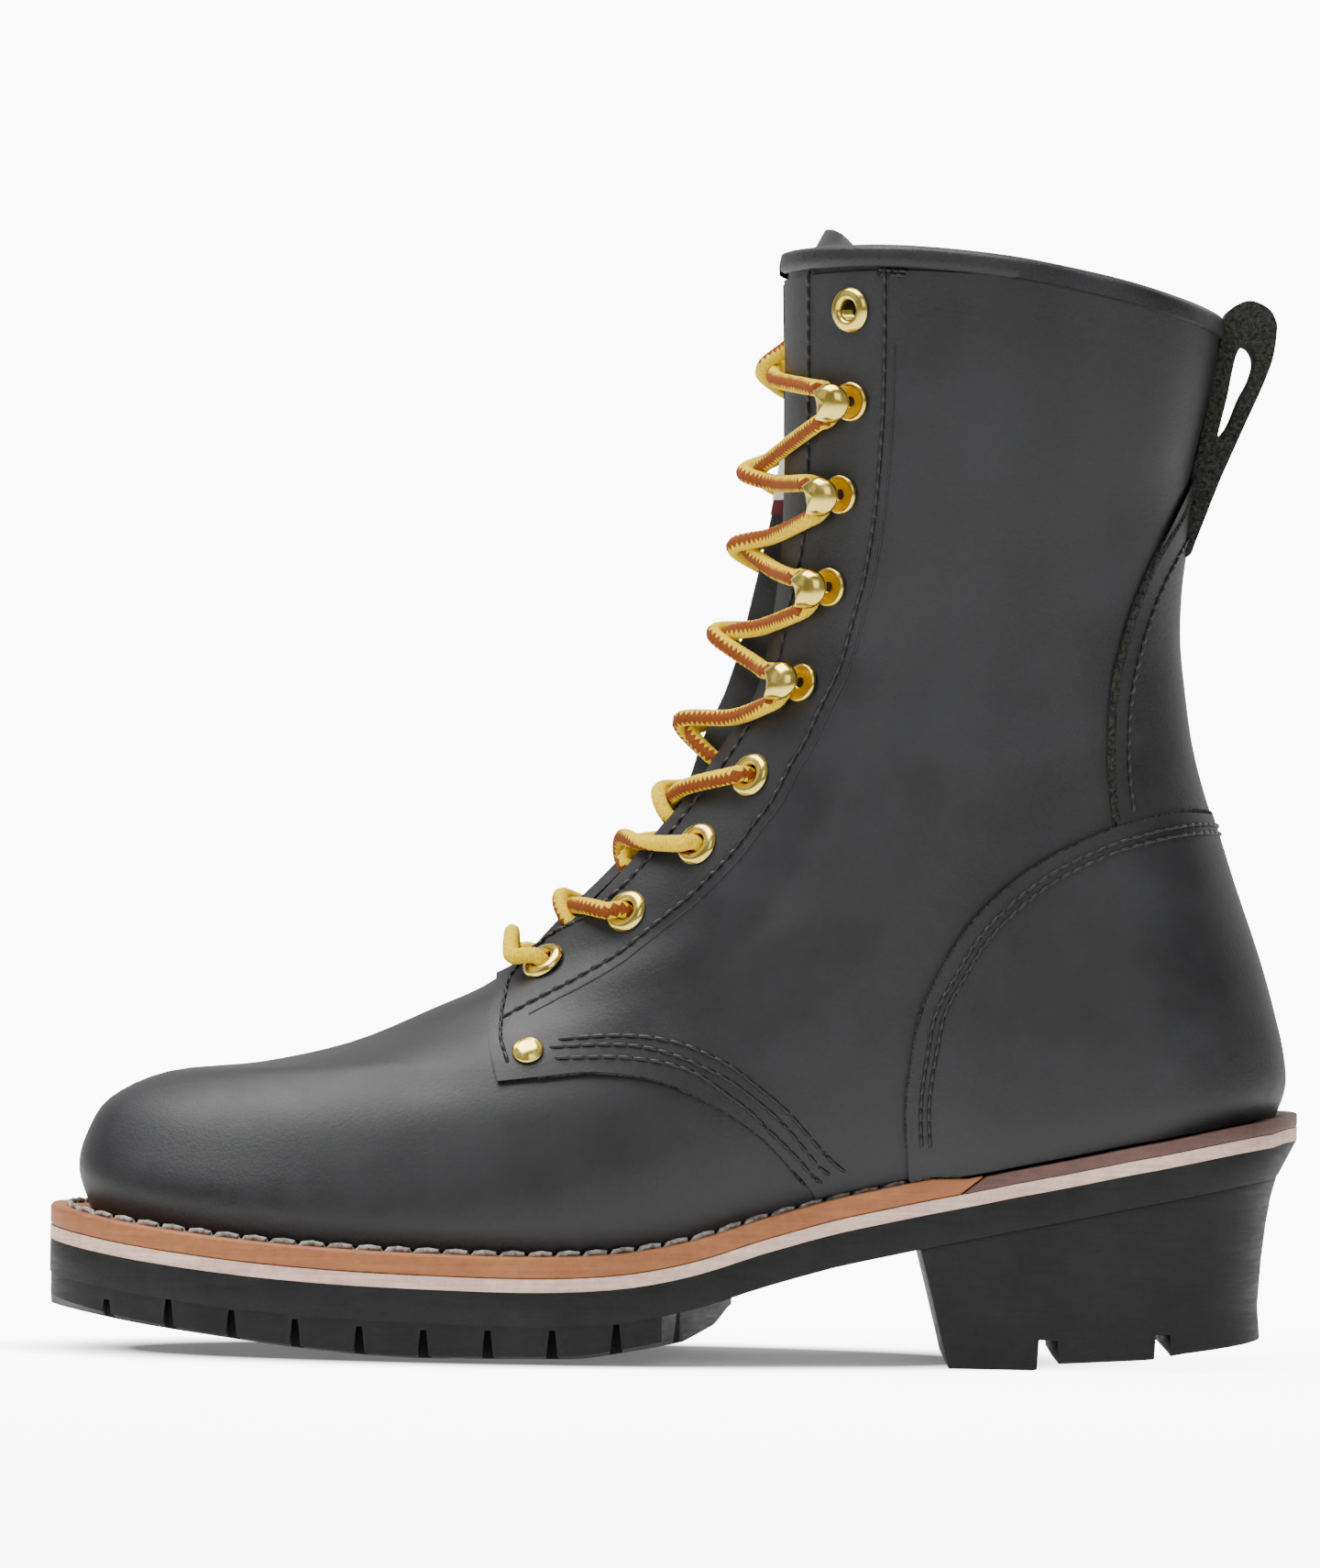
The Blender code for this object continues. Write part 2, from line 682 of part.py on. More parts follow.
def build_tongue(group):
    rows = []
    for station in TONGUE_ROWS:
        edge = throat_place(max(station.row, THROAT_ROW + 0.1), TONGUE_HALF)
        row = []
        for i in range(TONGUE_STEPS, -TONGUE_STEPS - 1, -1):
            place = edge * math.copysign(abs(i / TONGUE_STEPS) ** TONGUE_SPREAD, i) if i else 0.0
            bulge = tongue_bulge(station.row, skin(station.row, place).y)
            if station.rise:
                bulge = station.bulge
            rise = station.rise * (1 - (i / TONGUE_STEPS) ** 4)
            point = skin(station.row, place, bulge - LINING_WALL - TONGUE_CLEAR)
            row.append(point + Vector((TONGUE_LEAN * rise, 0, rise)))
        rows.append(row)
    tongue = mesh_object("tongue", sheet_mesh("tongue", rows), group, "leather")
    shell(tongue, TONGUE_WALL)


def plan_half(row, side, x):
    """Half width of a plan outline at x, by the same curves as plan_point."""
    low, high = 0.0, 1.0
    for _ in range(40):
        middle = (low + high) / 2
        if plan_point(row, side, middle)[0] < x:
            low = middle
        else:
            high = middle
    return plan_point(row, side, low)[1]


def inset(row, edge, front=None, back=None):
    """The plan outline drawn in by `edge` all round, or by other amounts at its two tips."""
    front = edge if front is None else front
    back = edge if back is None else back
    return row._replace(
        front_x=row.front_x + front,
        back_x=row.back_x - back,
        fore_in=row.fore_in - edge,
        fore_out=row.fore_out - edge,
        mid_in=row.mid_in - edge,
        mid_out=row.mid_out - edge,
        rear_half=row.rear_half - edge,
    )


def stations(start, end, count):
    """Places along x from start to end, closer together towards both ends."""
    return [start + (end - start) * (1 - math.cos(math.pi * i / count)) / 2 for i in range(count + 1)]


def plate(name, outline, xs, top, bottom, group, paint, across=1, foot=None):
    """A sole layer between a top and a bottom height; its foot may follow a smaller outline than its top."""
    foot = foot or outline
    shrink = (foot.back_x - foot.front_x) / (outline.back_x - outline.front_x)
    loops = []
    for x in xs:
        low_x = foot.front_x + (x - outline.front_x) * shrink
        high = [plan_half(outline, side, x) for side in (-1, 1)]
        low = [plan_half(foot, side, low_x) for side in (-1, 1)]
        steps = [i / across for i in range(across + 1)]
        loop = [(x, high[0] + (high[1] - high[0]) * t, top(x)) for t in steps]
        loop += [(low_x, low[0] + (low[1] - low[0]) * t, bottom(low_x, 2 * t - 1)) for t in steps[::-1]]
        loops.append(loop)
    return mesh_object(name, loft_mesh(name, loops), group, paint)


def build_midsole(group):
    xs = stations(SOLE.front_x + TIP_CUT, SOLE.back_x - TIP_CUT, 30)
    top = lambda x: height_along(SEATS, x)
    bottom = lambda x, share: height_along(SEATS, x) - MIDSOLE_THICK
    plate("midsole", SOLE, xs, top, bottom, group, "pale_leather")


def build_insole(group):
    outline = inset(ROWS[0], LINING_WALL + INSOLE_CLEAR)
    xs = stations(outline.front_x + TIP_CUT, outline.back_x - TIP_CUT, 20)
    top = lambda x: welt_top(x) + GAP + INSOLE_THICK
    bottom = lambda x, share: welt_top(x) + GAP
    plate("insole", outline, xs, top, bottom, group, "board")


def edge_strip(name, start, count, thick, group, paint, round_toe):
    """A strip of leather along the sole's edge, from x=start on the inner side round to the outer side."""
    inner = inset(SOLE, WELT_WIDTH)
    tip = 0.0 if round_toe else 1.0
    start_share = share_at(SOLE, start)
    loops = []
    for i in range(-count, count + 1):
        share = tip + (start_share - tip) * abs(i) / count
        side = -1 if i < 0 else 1
        ox, oy = plan_point(SOLE, side, share)
        ix, iy = plan_point(inner, side, share)
        low_o = height_along(SEATS, ox) + STRIP_GAP
        low_i = height_along(SEATS, ix) + STRIP_GAP
        loops.append(
            [
                (ox, oy, low_o),
                (ix, iy, low_i),
                (ix, iy, low_i + thick(ix)),
                (ox, oy, low_o + thick(ox)),
            ]
        )
    return mesh_object(name, loft_mesh(name, loops), group, paint)


def share_at(row, x):
    low, high = 0.0, 1.0
    for _ in range(40):
        middle = (low + high) / 2
        if plan_point(row, 1, middle)[0] < x:
            low = middle
        else:
            high = middle
    return low


def build_welt(group):
    thick = lambda x: welt_top(x) - height_along(SEATS, x) - STRIP_GAP
    edge_strip("welt", WELT_ENDS_AT, 22, thick, group, "tan_leather", True)
    edge_strip("heel_rand", WELT_ENDS_AT + 2 * GAP, 12, thick, group, "dark_leather", False)


def slab_top(x):
    return height_along(SEATS, x) - MIDSOLE_THICK - GAP


def slab_bottom(x, share=0.0):
    return slab_top(x) - SLAB_THICK


def pad_bottom(x, share):
    """Tread of the forefoot: level across the middle and rising to both edges."""
    return max(height_along(TREADS, x), 0.0) + CROWN_RISE * smooth_step((abs(share) - 0.4) / 0.6)


def tread_cutters(helpers):
    """Wedges across both edges of the pad, which leave its edge lugs."""
    bm = bmesh.new()
    outline = inset(SOLE, PAD_INSET)
    for side in (-1, 1):
        for i in range(NOTCH_COUNT + 1):
            x = NOTCH_FIRST + NOTCH_PITCH * i + (NOTCH_OUTER_STEP if side > 0 else 0.0)
            depth = NOTCH_DEPTH if i else NOTCH_DEPTH / 2
            y = plan_half(outline, side, x)
            y0, y1 = y - side * NOTCH_REACH_IN, y + side * NOTCH_REACH_OUT
            floor = pad_bottom(x, 1.0)
            wedge(bm, x, y0, y1, floor - CUT_BELOW, floor + depth, NOTCH_TOP, NOTCH_FOOT)
    mesh = bpy.data.meshes.new("tread_cutters")
    bmesh.ops.recalc_face_normals(bm, faces=bm.faces)
    bm.to_mesh(mesh)
    bm.free()
    return as_helper(mesh_object("tread_cutters", mesh, helpers))


def wedge(bm, x, y0, y1, bottom, top, top_width, bottom_width):
    """A tapered bar across the boot, wider at its foot."""
    low = bmesh.ops.create_cube(bm, size=1.0)["verts"]
    for vert in low:
        width = bottom_width if vert.co.z < 0 else top_width
        y = y0 if vert.co.y < 0 else y1
        z = bottom if vert.co.z < 0 else top
        vert.co = Vector((x + math.copysign(width / 2, vert.co.x), y, z)) * MM


def bar_cutters(helpers):
    """Wedges across the middle of the pad, between the rows of edge notches."""
    bm = bmesh.new()
    outline = inset(SOLE, PAD_INSET + NOTCH_REACH_IN, front=BAR_FRONT)
    for i in range(BAR_COUNT):
        x = NOTCH_FIRST + NOTCH_PITCH * (2 * i + 1.5)
        y0 = plan_half(outline, -1, x) + BAR_LAND
        y1 = plan_half(outline, 1, x) - BAR_LAND
        floor = height_along(TREADS, x)
        wedge(bm, x, y0, y1, floor - CUT_BELOW, floor + BAR_DEPTH, BAR_TOP, NOTCH_FOOT)
    mesh = bpy.data.meshes.new("bar_cutters")
    bmesh.ops.recalc_face_normals(bm, faces=bm.faces)
    bm.to_mesh(mesh)
    bm.free()
    return as_helper(mesh_object("bar_cutters", mesh, helpers))


def build_outsole(group, helpers):
    xs = stations(SOLE.front_x + TIP_CUT, SOLE.back_x - TIP_CUT, 30)
    slab = plate("outsole", SOLE, xs, slab_top, slab_bottom, group, "rubber", foot=SLAB_FOOT)
    outline = inset(SOLE, PAD_INSET)
    pad_xs = stations(outline.front_x + TIP_CUT, PAD_ENDS_AT + PAD_END_SPARE, 20)
    pad_top = lambda x: slab_top(x) - SLAB_THICK / 2
    pad = plate("pad", outline, pad_xs, pad_top, pad_bottom, helpers, None, across=8)
    bm = bmesh.new()
    half = PAD_END_SPARE * 2
    wedge(bm, half + PAD_ENDS_AT, -2 * SOLE.fore_in, 2 * SOLE.fore_in, -half, SOLE.fore_in, 2 * half, 2 * half)
    for vert in bm.verts:
        vert.co.x += PAD_END_SKEW * vert.co.y
    mesh = bpy.data.meshes.new("pad_end")
    bm.to_mesh(mesh)
    bm.free()
    cut(as_helper(pad), as_helper(mesh_object("pad_end", mesh, helpers)))
    cut(slab, pad, "UNION")
    cut(slab, tread_cutters(helpers))
    cut(slab, bar_cutters(helpers))


HEEL_BREAST_TOP, HEEL_BREAST_FOOT = 61.0, 68.4
HEEL_INSET, HEEL_DRAWN_IN, HEEL_DRAWN_ON = 0.2, 1.8, 6.0
HEEL_SIDE_STEPS, HEEL_BACK_STEPS = 5, 7
HEEL_NOTCH_FLARE = 1.6
HEEL_FLAT_ENDS = 89.6
HEEL_FOOT = [Seat(60, 0.0), Seat(89.6, 0.0), Seat(95, 1.7), Seat(118, 3.1), Seat(123, 4.3), Seat(150, 7.4)]
HEEL_NOTCHES = [(92.8, 7.5, 4.6), (121.1, 9.3, 3.6)]
HEEL_BACK = [(0.0, 151.1), (0.12, 149.6), (0.27, 148.5), (0.5, 147.4), (0.8, 146.6), (1.0, 147.3)]


def build_heel(group, helpers):
    """A block lofted from the slab down to its tread, hollowed at the back and drawn in at the foot."""
    loops = []
    for drop, back in HEEL_BACK:
        row = inset(SLAB_FOOT, HEEL_DRAWN_IN * drop + HEEL_INSET)
        row = row._replace(back_x=back, rear_at=SOLE.rear_at - HEEL_DRAWN_ON * drop)
        breast = HEEL_BREAST_TOP + (HEEL_BREAST_FOOT - HEEL_BREAST_TOP) * drop
        ring = []
        for side in (-1, 1):
            half = []
            for i in range(HEEL_SIDE_STEPS):
                x = breast + (row.rear_at - breast) * i / HEEL_SIDE_STEPS
                half.append((x, plan_half(row, side, x)))
            for i in range(HEEL_BACK_STEPS):
                half.append(plan_point(row, side, REAR_START + (1 - REAR_START) * i / HEEL_BACK_STEPS))
            if side < 0:
                half.append(plan_point(row, side, 1.0))
            ring += half if side < 0 else half[::-1]
        loop = []
        for x, y in ring:
            high = slab_bottom(x) - GAP
            foot = 0.0 if x <= HEEL_FLAT_ENDS else height_line(HEEL_FOOT, x)
            loop.append((x, y, high + (foot - high) * drop))
        loops.append(loop)
    heel = mesh_object("heel", loft_mesh("heel", loops), group, "rubber")
    bm = bmesh.new()
    for x, top, width in HEEL_NOTCHES:
        wedge(bm, x, -SOLE.fore_in, SOLE.fore_in, -CUT_BELOW, top, width, width + HEEL_NOTCH_FLARE)
    bmesh.ops.recalc_face_normals(bm, faces=bm.faces)
    mesh = bpy.data.meshes.new("heel_cutters")
    bm.to_mesh(mesh)
    bm.free()
    cut(heel, as_helper(mesh_object("heel_cutters", mesh, helpers)))


def height_line(points, x):
    """Height at x on the straight lines between stations."""
    for a, b in zip(points, points[1:]):
        if x <= b.x:
            return a.z + (b.z - a.z) * (x - a.x) / (b.x - a.x)
    return points[-1].z


def turned_mesh(name, profile, frame, segments=10):
    """A solid turned about the Z axis of a frame, from a closed profile of (radius, height)."""
    bm = bmesh.new()
    rings = []
    for i in range(segments):
        angle = 2 * math.pi * i / segments
        ring = [bm.verts.new(Vector((r * math.cos(angle), r * math.sin(angle), h)) * MM) for r, h in profile]
        rings.append(ring)
    for a, b in zip(rings, rings[1:] + rings[:1]):
        for i in range(len(profile)):
            j = (i + 1) % len(profile)
            bm.faces.new((a[i], b[i], b[j], a[j]))
    bmesh.ops.remove_doubles(bm, verts=bm.verts, dist=0.000001)
    on_axis = [edge for edge in bm.edges if not edge.link_faces]
    bmesh.ops.delete(bm, geom=on_axis, context="EDGES")
    bmesh.ops.recalc_face_normals(bm, faces=bm.faces)
    bmesh.ops.transform(bm, matrix=frame, verts=bm.verts)
    mesh = bpy.data.meshes.new(name)
    bm.to_mesh(mesh)
    bm.free()
    return mesh


def build_eyelets(group):
    low = -QUARTER_RISE - LINING_WALL
    profile = [
        (EYELET_BORE, low),
        (EYELET_BORE, EYELET_PROUD + GAP),
        (EYELET_FLANGE, GAP),
        (EYELET_BARREL, GAP),
        (EYELET_BARREL, low),
    ]
    for side in (-1, 1):
        for number, eyelet in enumerate(EYELETS, 1):
            name = side_name("eyelet", side, number)
            mesh_object(name, turned_mesh(name, profile, seat_frame(eyelet, side)), group, "brass")


def build_rivets(group):
    profile = [(0.0, GAP), (0.0, 1.5), (RIVET_HEAD * 0.6, 1.25), (RIVET_HEAD, GAP)]
    for side in (-1, 1):
        name = side_name("rivet", side)
        mesh_object(name, turned_mesh(name, profile, seat_frame(RIVET, side)), group, "brass")


def build_hooks(group, helpers):
    """Each hook is a base disc, a neck on the throat side and a domed plate over it, open to the rear."""
    base = [(HOOK_HOLE, GAP), (HOOK_HOLE, HOOK_BASE_THICK), (HOOK_BASE, HOOK_BASE_THICK), (HOOK_BASE, GAP)]
    dome = [(0.0, 5.4), (0.0, 7.7), (2.6, 7.0), (3.6, 5.4)]
    neck = [(0.0, 0.7), (0.0, 6.1), (HOOK_NECK, 6.1), (HOOK_NECK, 0.7)]
    to_cap = Matrix.Translation(Vector((HOOK_CAP_AT, 0, 0)) * MM) @ Matrix.Diagonal((1, HOOK_CAP_STRETCH, 1, 1))
    to_neck = Matrix.Translation(Vector((HOOK_NECK_AT, HOOK_NECK_OFF, 0)) * MM)
    for side in (-1, 1):
        for number, hook in enumerate(HOOKS, 1):
            name = side_name("hook", side, number)
            frame = seat_frame(hook, side)
            made = mesh_object(name, turned_mesh(name, base, frame, 9), group, "brass")
            top = mesh_object(name + "_dome", turned_mesh(name + "_dome", dome, frame @ to_cap, 8), helpers)
            post = mesh_object(name + "_neck", turned_mesh(name + "_neck", neck, frame @ to_neck, 6), helpers)
            cut(made, as_helper(post), "UNION")
            cut(made, as_helper(top), "UNION")


def cord_object(name, points):
    curve = bpy.data.curves.new(name, "CURVE")
    curve.dimensions = "3D"
    curve.bevel_depth = LACE_RADIUS * MM
    curve.bevel_resolution = 1
    curve.use_fill_caps = True
    spline = curve.splines.new("POLY")
    spline.points.add(len(points) - 1)
    for point, co in zip(spline.points, points):
        point.co = (*(co * MM), 1.0)
    return meshed(bpy.data.objects.new(name, curve))


def smooth_route(points, steps):
    """Points along the smooth curve through a hand-chosen route."""
    columns = [[point[axis] for point in points] for axis in range(3)]
    count = (len(points) - 1) * steps
    return [Vector([curve_through(column, i / steps) for column in columns]) for i in range(count + 1)]


def over(fastener, side, ahead, up, lift):
    """A point at a height over the quarter's surface, beside a fastener."""
    spot = Fastener(fastener.x + ahead, fastener.z + up, 0)
    return seat_frame(spot, side) @ Vector((0, 0, lift * MM)) / MM


def at_half(row, y, lift):
    """Point over a row of the skin at a distance y from the middle."""
    return skin(row, math.copysign(throat_place(row, abs(y)), y), lift)


def in_throat(row, y):
    """Centre of a strand that lies on the tongue between the two facings."""
    on_tongue = tongue_bulge(row, y) - LINING_WALL - TONGUE_CLEAR
    return at_half(row, y, on_tongue + LACE_RADIUS + 2 * STRAND_CLEAR)


def mirrored(point):
    return Vector((point.x, -point.y, point.z))


def over_facing(crossing, anchor, side):
    """Two points of a strand over a facing, between the middle of the throat and a hook."""
    row, place = find_on_skin(anchor.x, anchor.z, side)
    width = abs(skin(row, place).y)
    points = []
    for y in (STRAND_ON_RIM, STRAND_ON_BEND * width):
        mark = crossing.row + (row - crossing.row) * y / width
        points.append(at_half(mark, side * y, QUARTER_RISE + LACE_RADIUS + 3 * STRAND_CLEAR))
    return points


def strand_route(number, centre):
    """Route of one strand, up from the inner side over the middle to the outer side."""
    crossing = CROSSINGS[number - 1]
    anchors = EYELETS[:4] + HOOKS
    low = anchors[number - 1]
    if number <= 4:
        row = find_on_skin(low.x, low.z, -1)[0]
        points = [in_throat(row + 0.75 * (crossing.row - row), -STRAND_IN_THROAT)]
        if number == 4:
            points[0] += STRAND_LIFT
    else:
        points = [over(low, -1, -2.0, HOOK_REACH, HOOK_SEAT)] + over_facing(crossing, low, -1)[::-1]
    points.append(centre)
    if number == len(CROSSINGS):
        return points + [in_throat(crossing.row + 0.2, STRAND_IN_THROAT)]
    high = anchors[number]
    if number < 4:
        return points + over_facing(crossing, high, 1)[:1] + [over(high, 1, 0, 0, EYELET_SEAT)]
    return points + over_facing(crossing, high, 1) + [over(high, 1, -1.0, -HOOK_REACH, HOOK_SEAT)]


def build_lace(group, helpers):
    """Bar over the lowest eyelets, then eight crossings, each of two strands joined where they meet."""
    end = over(EYELETS[0], -1, 0, 0, EYELETS[0].rise + EYELET_SEAT)
    bar = smooth_route([end, end.lerp(LACE_BAR_TOP, 0.6) + LACE_BAR_BEND, LACE_BAR_TOP], 2)
    bar += [mirrored(point) for point in bar[-2::-1]]
    placed(cord_object("lace_bar", bar), group, "lace")
    for number, crossing in enumerate(CROSSINGS, 1):
        centre = skin(crossing.row, 0.0, crossing.lift)
        front = strand_route(number, centre)
        behind = [mirrored(point) for point in strand_route(number, centre + STRAND_STEP)]
        name = f"lace_cross_{number}"
        steps = 2 if len(front) < 5 else 1
        first = placed(cord_object(name, smooth_route(front, steps)), group, "lace")
        second = placed(cord_object(name + "_back", smooth_route(behind, steps)), helpers)
        cut(first, as_helper(second), "UNION")


def main():
    clear_scene()
    boot = new_collection("logger_boot")
    helpers = new_collection("cutters")
    build_outsole(boot, helpers)
    build_heel(boot, helpers)
    build_midsole(boot)
    build_welt(boot)
    build_insole(boot)
    build_upper(boot, helpers)
    build_tongue(boot)
    build_counter(boot, helpers)
    build_backstay(boot, helpers)
    build_eyelets(boot)
    build_rivets(boot)
    build_hooks(boot, helpers)
    build_lace(boot, helpers)


main()
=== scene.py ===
"""Looks of the logger boot, right foot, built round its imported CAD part.

Sizes in the tables are millimetres. The toe points along -X and the inner side, which the photo shows, is -Y.
"""

import math
from collections import namedtuple
from functools import lru_cache

import bmesh
import bpy
import numpy as np
from mathutils import Matrix, Vector


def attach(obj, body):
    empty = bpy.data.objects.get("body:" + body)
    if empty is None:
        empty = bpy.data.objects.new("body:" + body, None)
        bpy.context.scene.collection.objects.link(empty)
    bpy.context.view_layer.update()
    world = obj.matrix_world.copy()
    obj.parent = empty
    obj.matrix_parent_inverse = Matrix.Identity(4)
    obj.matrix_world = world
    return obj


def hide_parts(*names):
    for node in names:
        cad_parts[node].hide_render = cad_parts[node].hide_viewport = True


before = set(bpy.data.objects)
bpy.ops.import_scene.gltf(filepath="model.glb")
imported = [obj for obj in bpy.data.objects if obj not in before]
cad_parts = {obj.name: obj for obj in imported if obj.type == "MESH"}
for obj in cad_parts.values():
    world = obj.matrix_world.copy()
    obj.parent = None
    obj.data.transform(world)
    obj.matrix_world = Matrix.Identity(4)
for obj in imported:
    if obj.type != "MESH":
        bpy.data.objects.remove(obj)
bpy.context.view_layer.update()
MM = 0.001


# The leather of the upper: black, smooth, oiled and lightly waxed, with fine pores and a faint bloom.
# All panels of the upper are cut from it, some with a coarser grain.
class Value:
    """A number or colour that a shader node gives. Arithmetic on it adds further nodes."""

    def __init__(self, tree, socket):
        self.tree = tree
        self.socket = socket

    def join(self, kind, inputs, out=0, **settings):
        made = self.tree.nodes.new("ShaderNode" + kind)
        for key, value in settings.items():
            setattr(made, key, value)
        for key, value in inputs.items():
            if isinstance(value, Value):
                self.tree.links.new(value.socket, made.inputs[key])
            else:
                made.inputs[key].default_value = value
        return Value(self.tree, made.outputs[out])

    def sum(self, operation, other=0.0):
        return self.join("Math", {0: self, 1: other}, operation=operation)

    def __add__(self, other):
        return self.sum("ADD", other)

    def __sub__(self, other):
        return self.sum("SUBTRACT", other)

    def __mul__(self, other):
        return self.sum("MULTIPLY", other)

    def __rsub__(self, other):
        return self.join("Math", {0: other, 1: self}, operation="SUBTRACT")

    __radd__ = __add__
    __rmul__ = __mul__


def new_finish(name, colour, roughness, metallic=0.0, coat=0.0, shine=0.5):
    """A material with its constants set, its shader and its object coordinates."""
    made = bpy.data.materials.new(name)
    made.use_nodes = True
    tree = made.node_tree
    shader = tree.nodes["Principled BSDF"]
    shader.inputs["Base Color"].default_value = (*colour, 1.0)
    shader.inputs["Roughness"].default_value = roughness
    shader.inputs["Metallic"].default_value = metallic
    shader.inputs["Coat Weight"].default_value = coat
    shader.inputs["Specular IOR Level"].default_value = shine
    coords = tree.nodes.new("ShaderNodeTexCoord")
    return made, shader, Value(tree, coords.outputs["Object"])


def feed(shader, name, value):
    value.tree.links.new(value.socket, shader.inputs[name])


def noise(place, scale, detail=3.0, roughness=0.55):
    return place.join("TexNoise", {"Vector": place, "Scale": scale, "Detail": detail, "Roughness": roughness})


def ramp(value, low, high, to_low=0.0, to_high=1.0):
    """Maps low..high onto to_low..to_high, held at both ends."""
    inputs = {"Value": value, "From Min": low, "From Max": high, "To Min": to_low, "To Max": to_high}
    return value.join("MapRange", inputs)


def tint(factor, dark, light):
    """Mixes two colours by a factor."""
    inputs = {0: factor, 6: (*dark, 1.0), 7: (*light, 1.0)}
    return factor.join("Mix", inputs, out=2, data_type="RGBA")


def bumped(shader, height, strength, distance_mm):
    inputs = {"Height": height, "Strength": strength, "Distance": distance_mm * MM}
    feed(shader, "Normal", height.join("Bump", inputs))


def stretched(place, x, y, z):
    return place.join("Mapping", {"Vector": place, "Scale": (x, y, z)})


def black_leather(name, shade=1.0, grain=1.0):
    dark = (0.0085 * shade, 0.0085 * shade, 0.0098 * shade)
    light = (0.019 * shade, 0.0192 * shade, 0.021 * shade)
    made, shader, place = new_finish(name, dark, 0.5, shine=0.42)
    broad = noise(place, 14.0, 4.0)
    cloudy = noise(place, 55.0, 5.0, 0.62)
    pores = place.join("TexVoronoi", {"Vector": place, "Scale": 1500.0})
    fine = noise(place, 900.0, 2.0)
    feed(shader, "Base Color", tint(ramp(broad * 0.6 + cloudy * 0.4, 0.38, 0.66), dark, light))
    feed(shader, "Roughness", ramp(cloudy, 0.3, 0.7, 0.43, 0.56))
    bumped(shader, pores * 0.35 + fine * 0.65 + cloudy * 0.8, 0.22 * grain, 0.35)
    return made


LEATHER = black_leather("waxed_black_leather")


# The form of the upper. Each row of the table is a line round the last, from the feather edge to the collar.
# Every panel, seam and fastener below is laid on this form.
LINING_WALL = 2.2
QUARTER_RISE = 1.2
THROAT_ROW = 8.0
THROAT_HALF = 9.0
LINING_BACK = 0.6
TOE_SWAY = -6.0
COLLAR_CROWN = 4.6
WELT_THICK = 5.0
RAND_THICK = 3.3
WELT_ENDS_AT = 72.0
GAP = 0.3
Row = namedtuple(
    "Row",
    "front_x front_z back_x back_z follow power "
    "fore_at fore_in fore_out mid_at mid_in mid_out rear_at rear_half",
)
ROWS = [
    Row(-146.2, 36.0, 147.6, 63.2, 1.00, 2.30, -66, 47.5, 49.5, 38, 28.0, 34.5, 112, 31.5),
    Row(-149.0, 45.0, 150.0, 70.5, 1.00, 2.30, -63, 49.2, 51.5, 38, 30.5, 37.0, 113, 33.5),
    Row(-147.5, 53.6, 149.3, 78.5, 0.85, 2.20, -52, 46.8, 49.5, 40, 32.5, 38.5, 113, 34.0),
    Row(-141.6, 62.9, 147.0, 88.0, 0.65, 2.05, -42, 42.0, 45.0, 42, 33.6, 39.0, 112, 33.8),
    Row(-127.0, 69.7, 144.3, 97.5, 0.45, 1.90, -20, 35.8, 38.5, 44, 34.0, 38.2, 110, 33.0),
    Row(-105.0, 72.2, 141.0, 107.5, 0.30, 1.80, 0, 33.0, 35.8, 48, 34.2, 37.5, 108, 32.0),
    Row(-82.0, 77.5, 136.9, 119.0, 0.15, 1.55, 10, 31.6, 33.6, 52, 34.5, 37.0, 106, 31.0),
    Row(-62.0, 86.0, 132.8, 131.5, 0.05, 1.42, 18, 31.6, 33.0, 56, 34.8, 36.5, 104, 30.0),
    Row(-44.6, 94.7, 128.8, 143.5, 0.00, 1.38, 26, 32.5, 33.5, 60, 35.0, 36.3, 101, 29.5),
    Row(-28.7, 110.6, 125.8, 155.0, 0.00, 1.38, 33, 33.0, 33.8, 62, 35.2, 36.0, 98, 29.5),
    Row(-13.6, 125.9, 123.8, 168.0, 0.00, 1.42, 40, 33.5, 34.0, 66, 35.5, 36.0, 96, 30.0),
    Row(-0.5, 140.3, 122.4, 181.0, 0.00, 1.50, 45, 34.0, 34.3, 68, 36.0, 36.3, 94, 31.0),
    Row(9.0, 153.0, 122.6, 194.0, 0.00, 1.60, 49, 34.8, 35.0, 71, 36.5, 36.8, 93, 32.0),
    Row(17.5, 166.0, 124.0, 206.5, 0.00, 1.70, 53, 36.0, 36.0, 73, 37.5, 37.6, 93, 33.5),
    Row(21.9, 184.0, 125.6, 222.0, 0.00, 1.80, 55, 38.5, 38.5, 75, 39.5, 39.5, 95, 35.5),
    Row(24.4, 207.0, 128.6, 236.0, 0.00, 1.85, 57, 41.0, 41.0, 77, 42.0, 42.0, 97, 38.5),
    Row(24.8, 240.0, 131.2, 249.0, 0.00, 1.90, 57, 44.0, 44.0, 78, 45.0, 45.0, 99, 41.5),
    Row(24.0, 277.3, 132.6, 262.3, 0.00, 1.90, 57, 47.0, 47.0, 79, 48.0, 48.0, 100, 45.0),
]
LAST_ROW = len(ROWS) - 1
BACK_POWER = 2.2
FORE_END, MID_END, REAR_START = 0.40, 0.58, 0.72
Seat = namedtuple("Seat", "x z")
SEATS = [
    Seat(-156, 31.4), Seat(-133, 27.9), Seat(-108, 25.1), Seat(-84, 23.3), Seat(-60, 22.3),
    Seat(-32, 21.6), Seat(-12, 22.5), Seat(5, 25.6), Seat(22, 31.0), Seat(40, 36.2), Seat(61, 41.0),
    Seat(84, 46.0), Seat(113, 52.2), Seat(149, 59.0), Seat(156, 60.2),
]


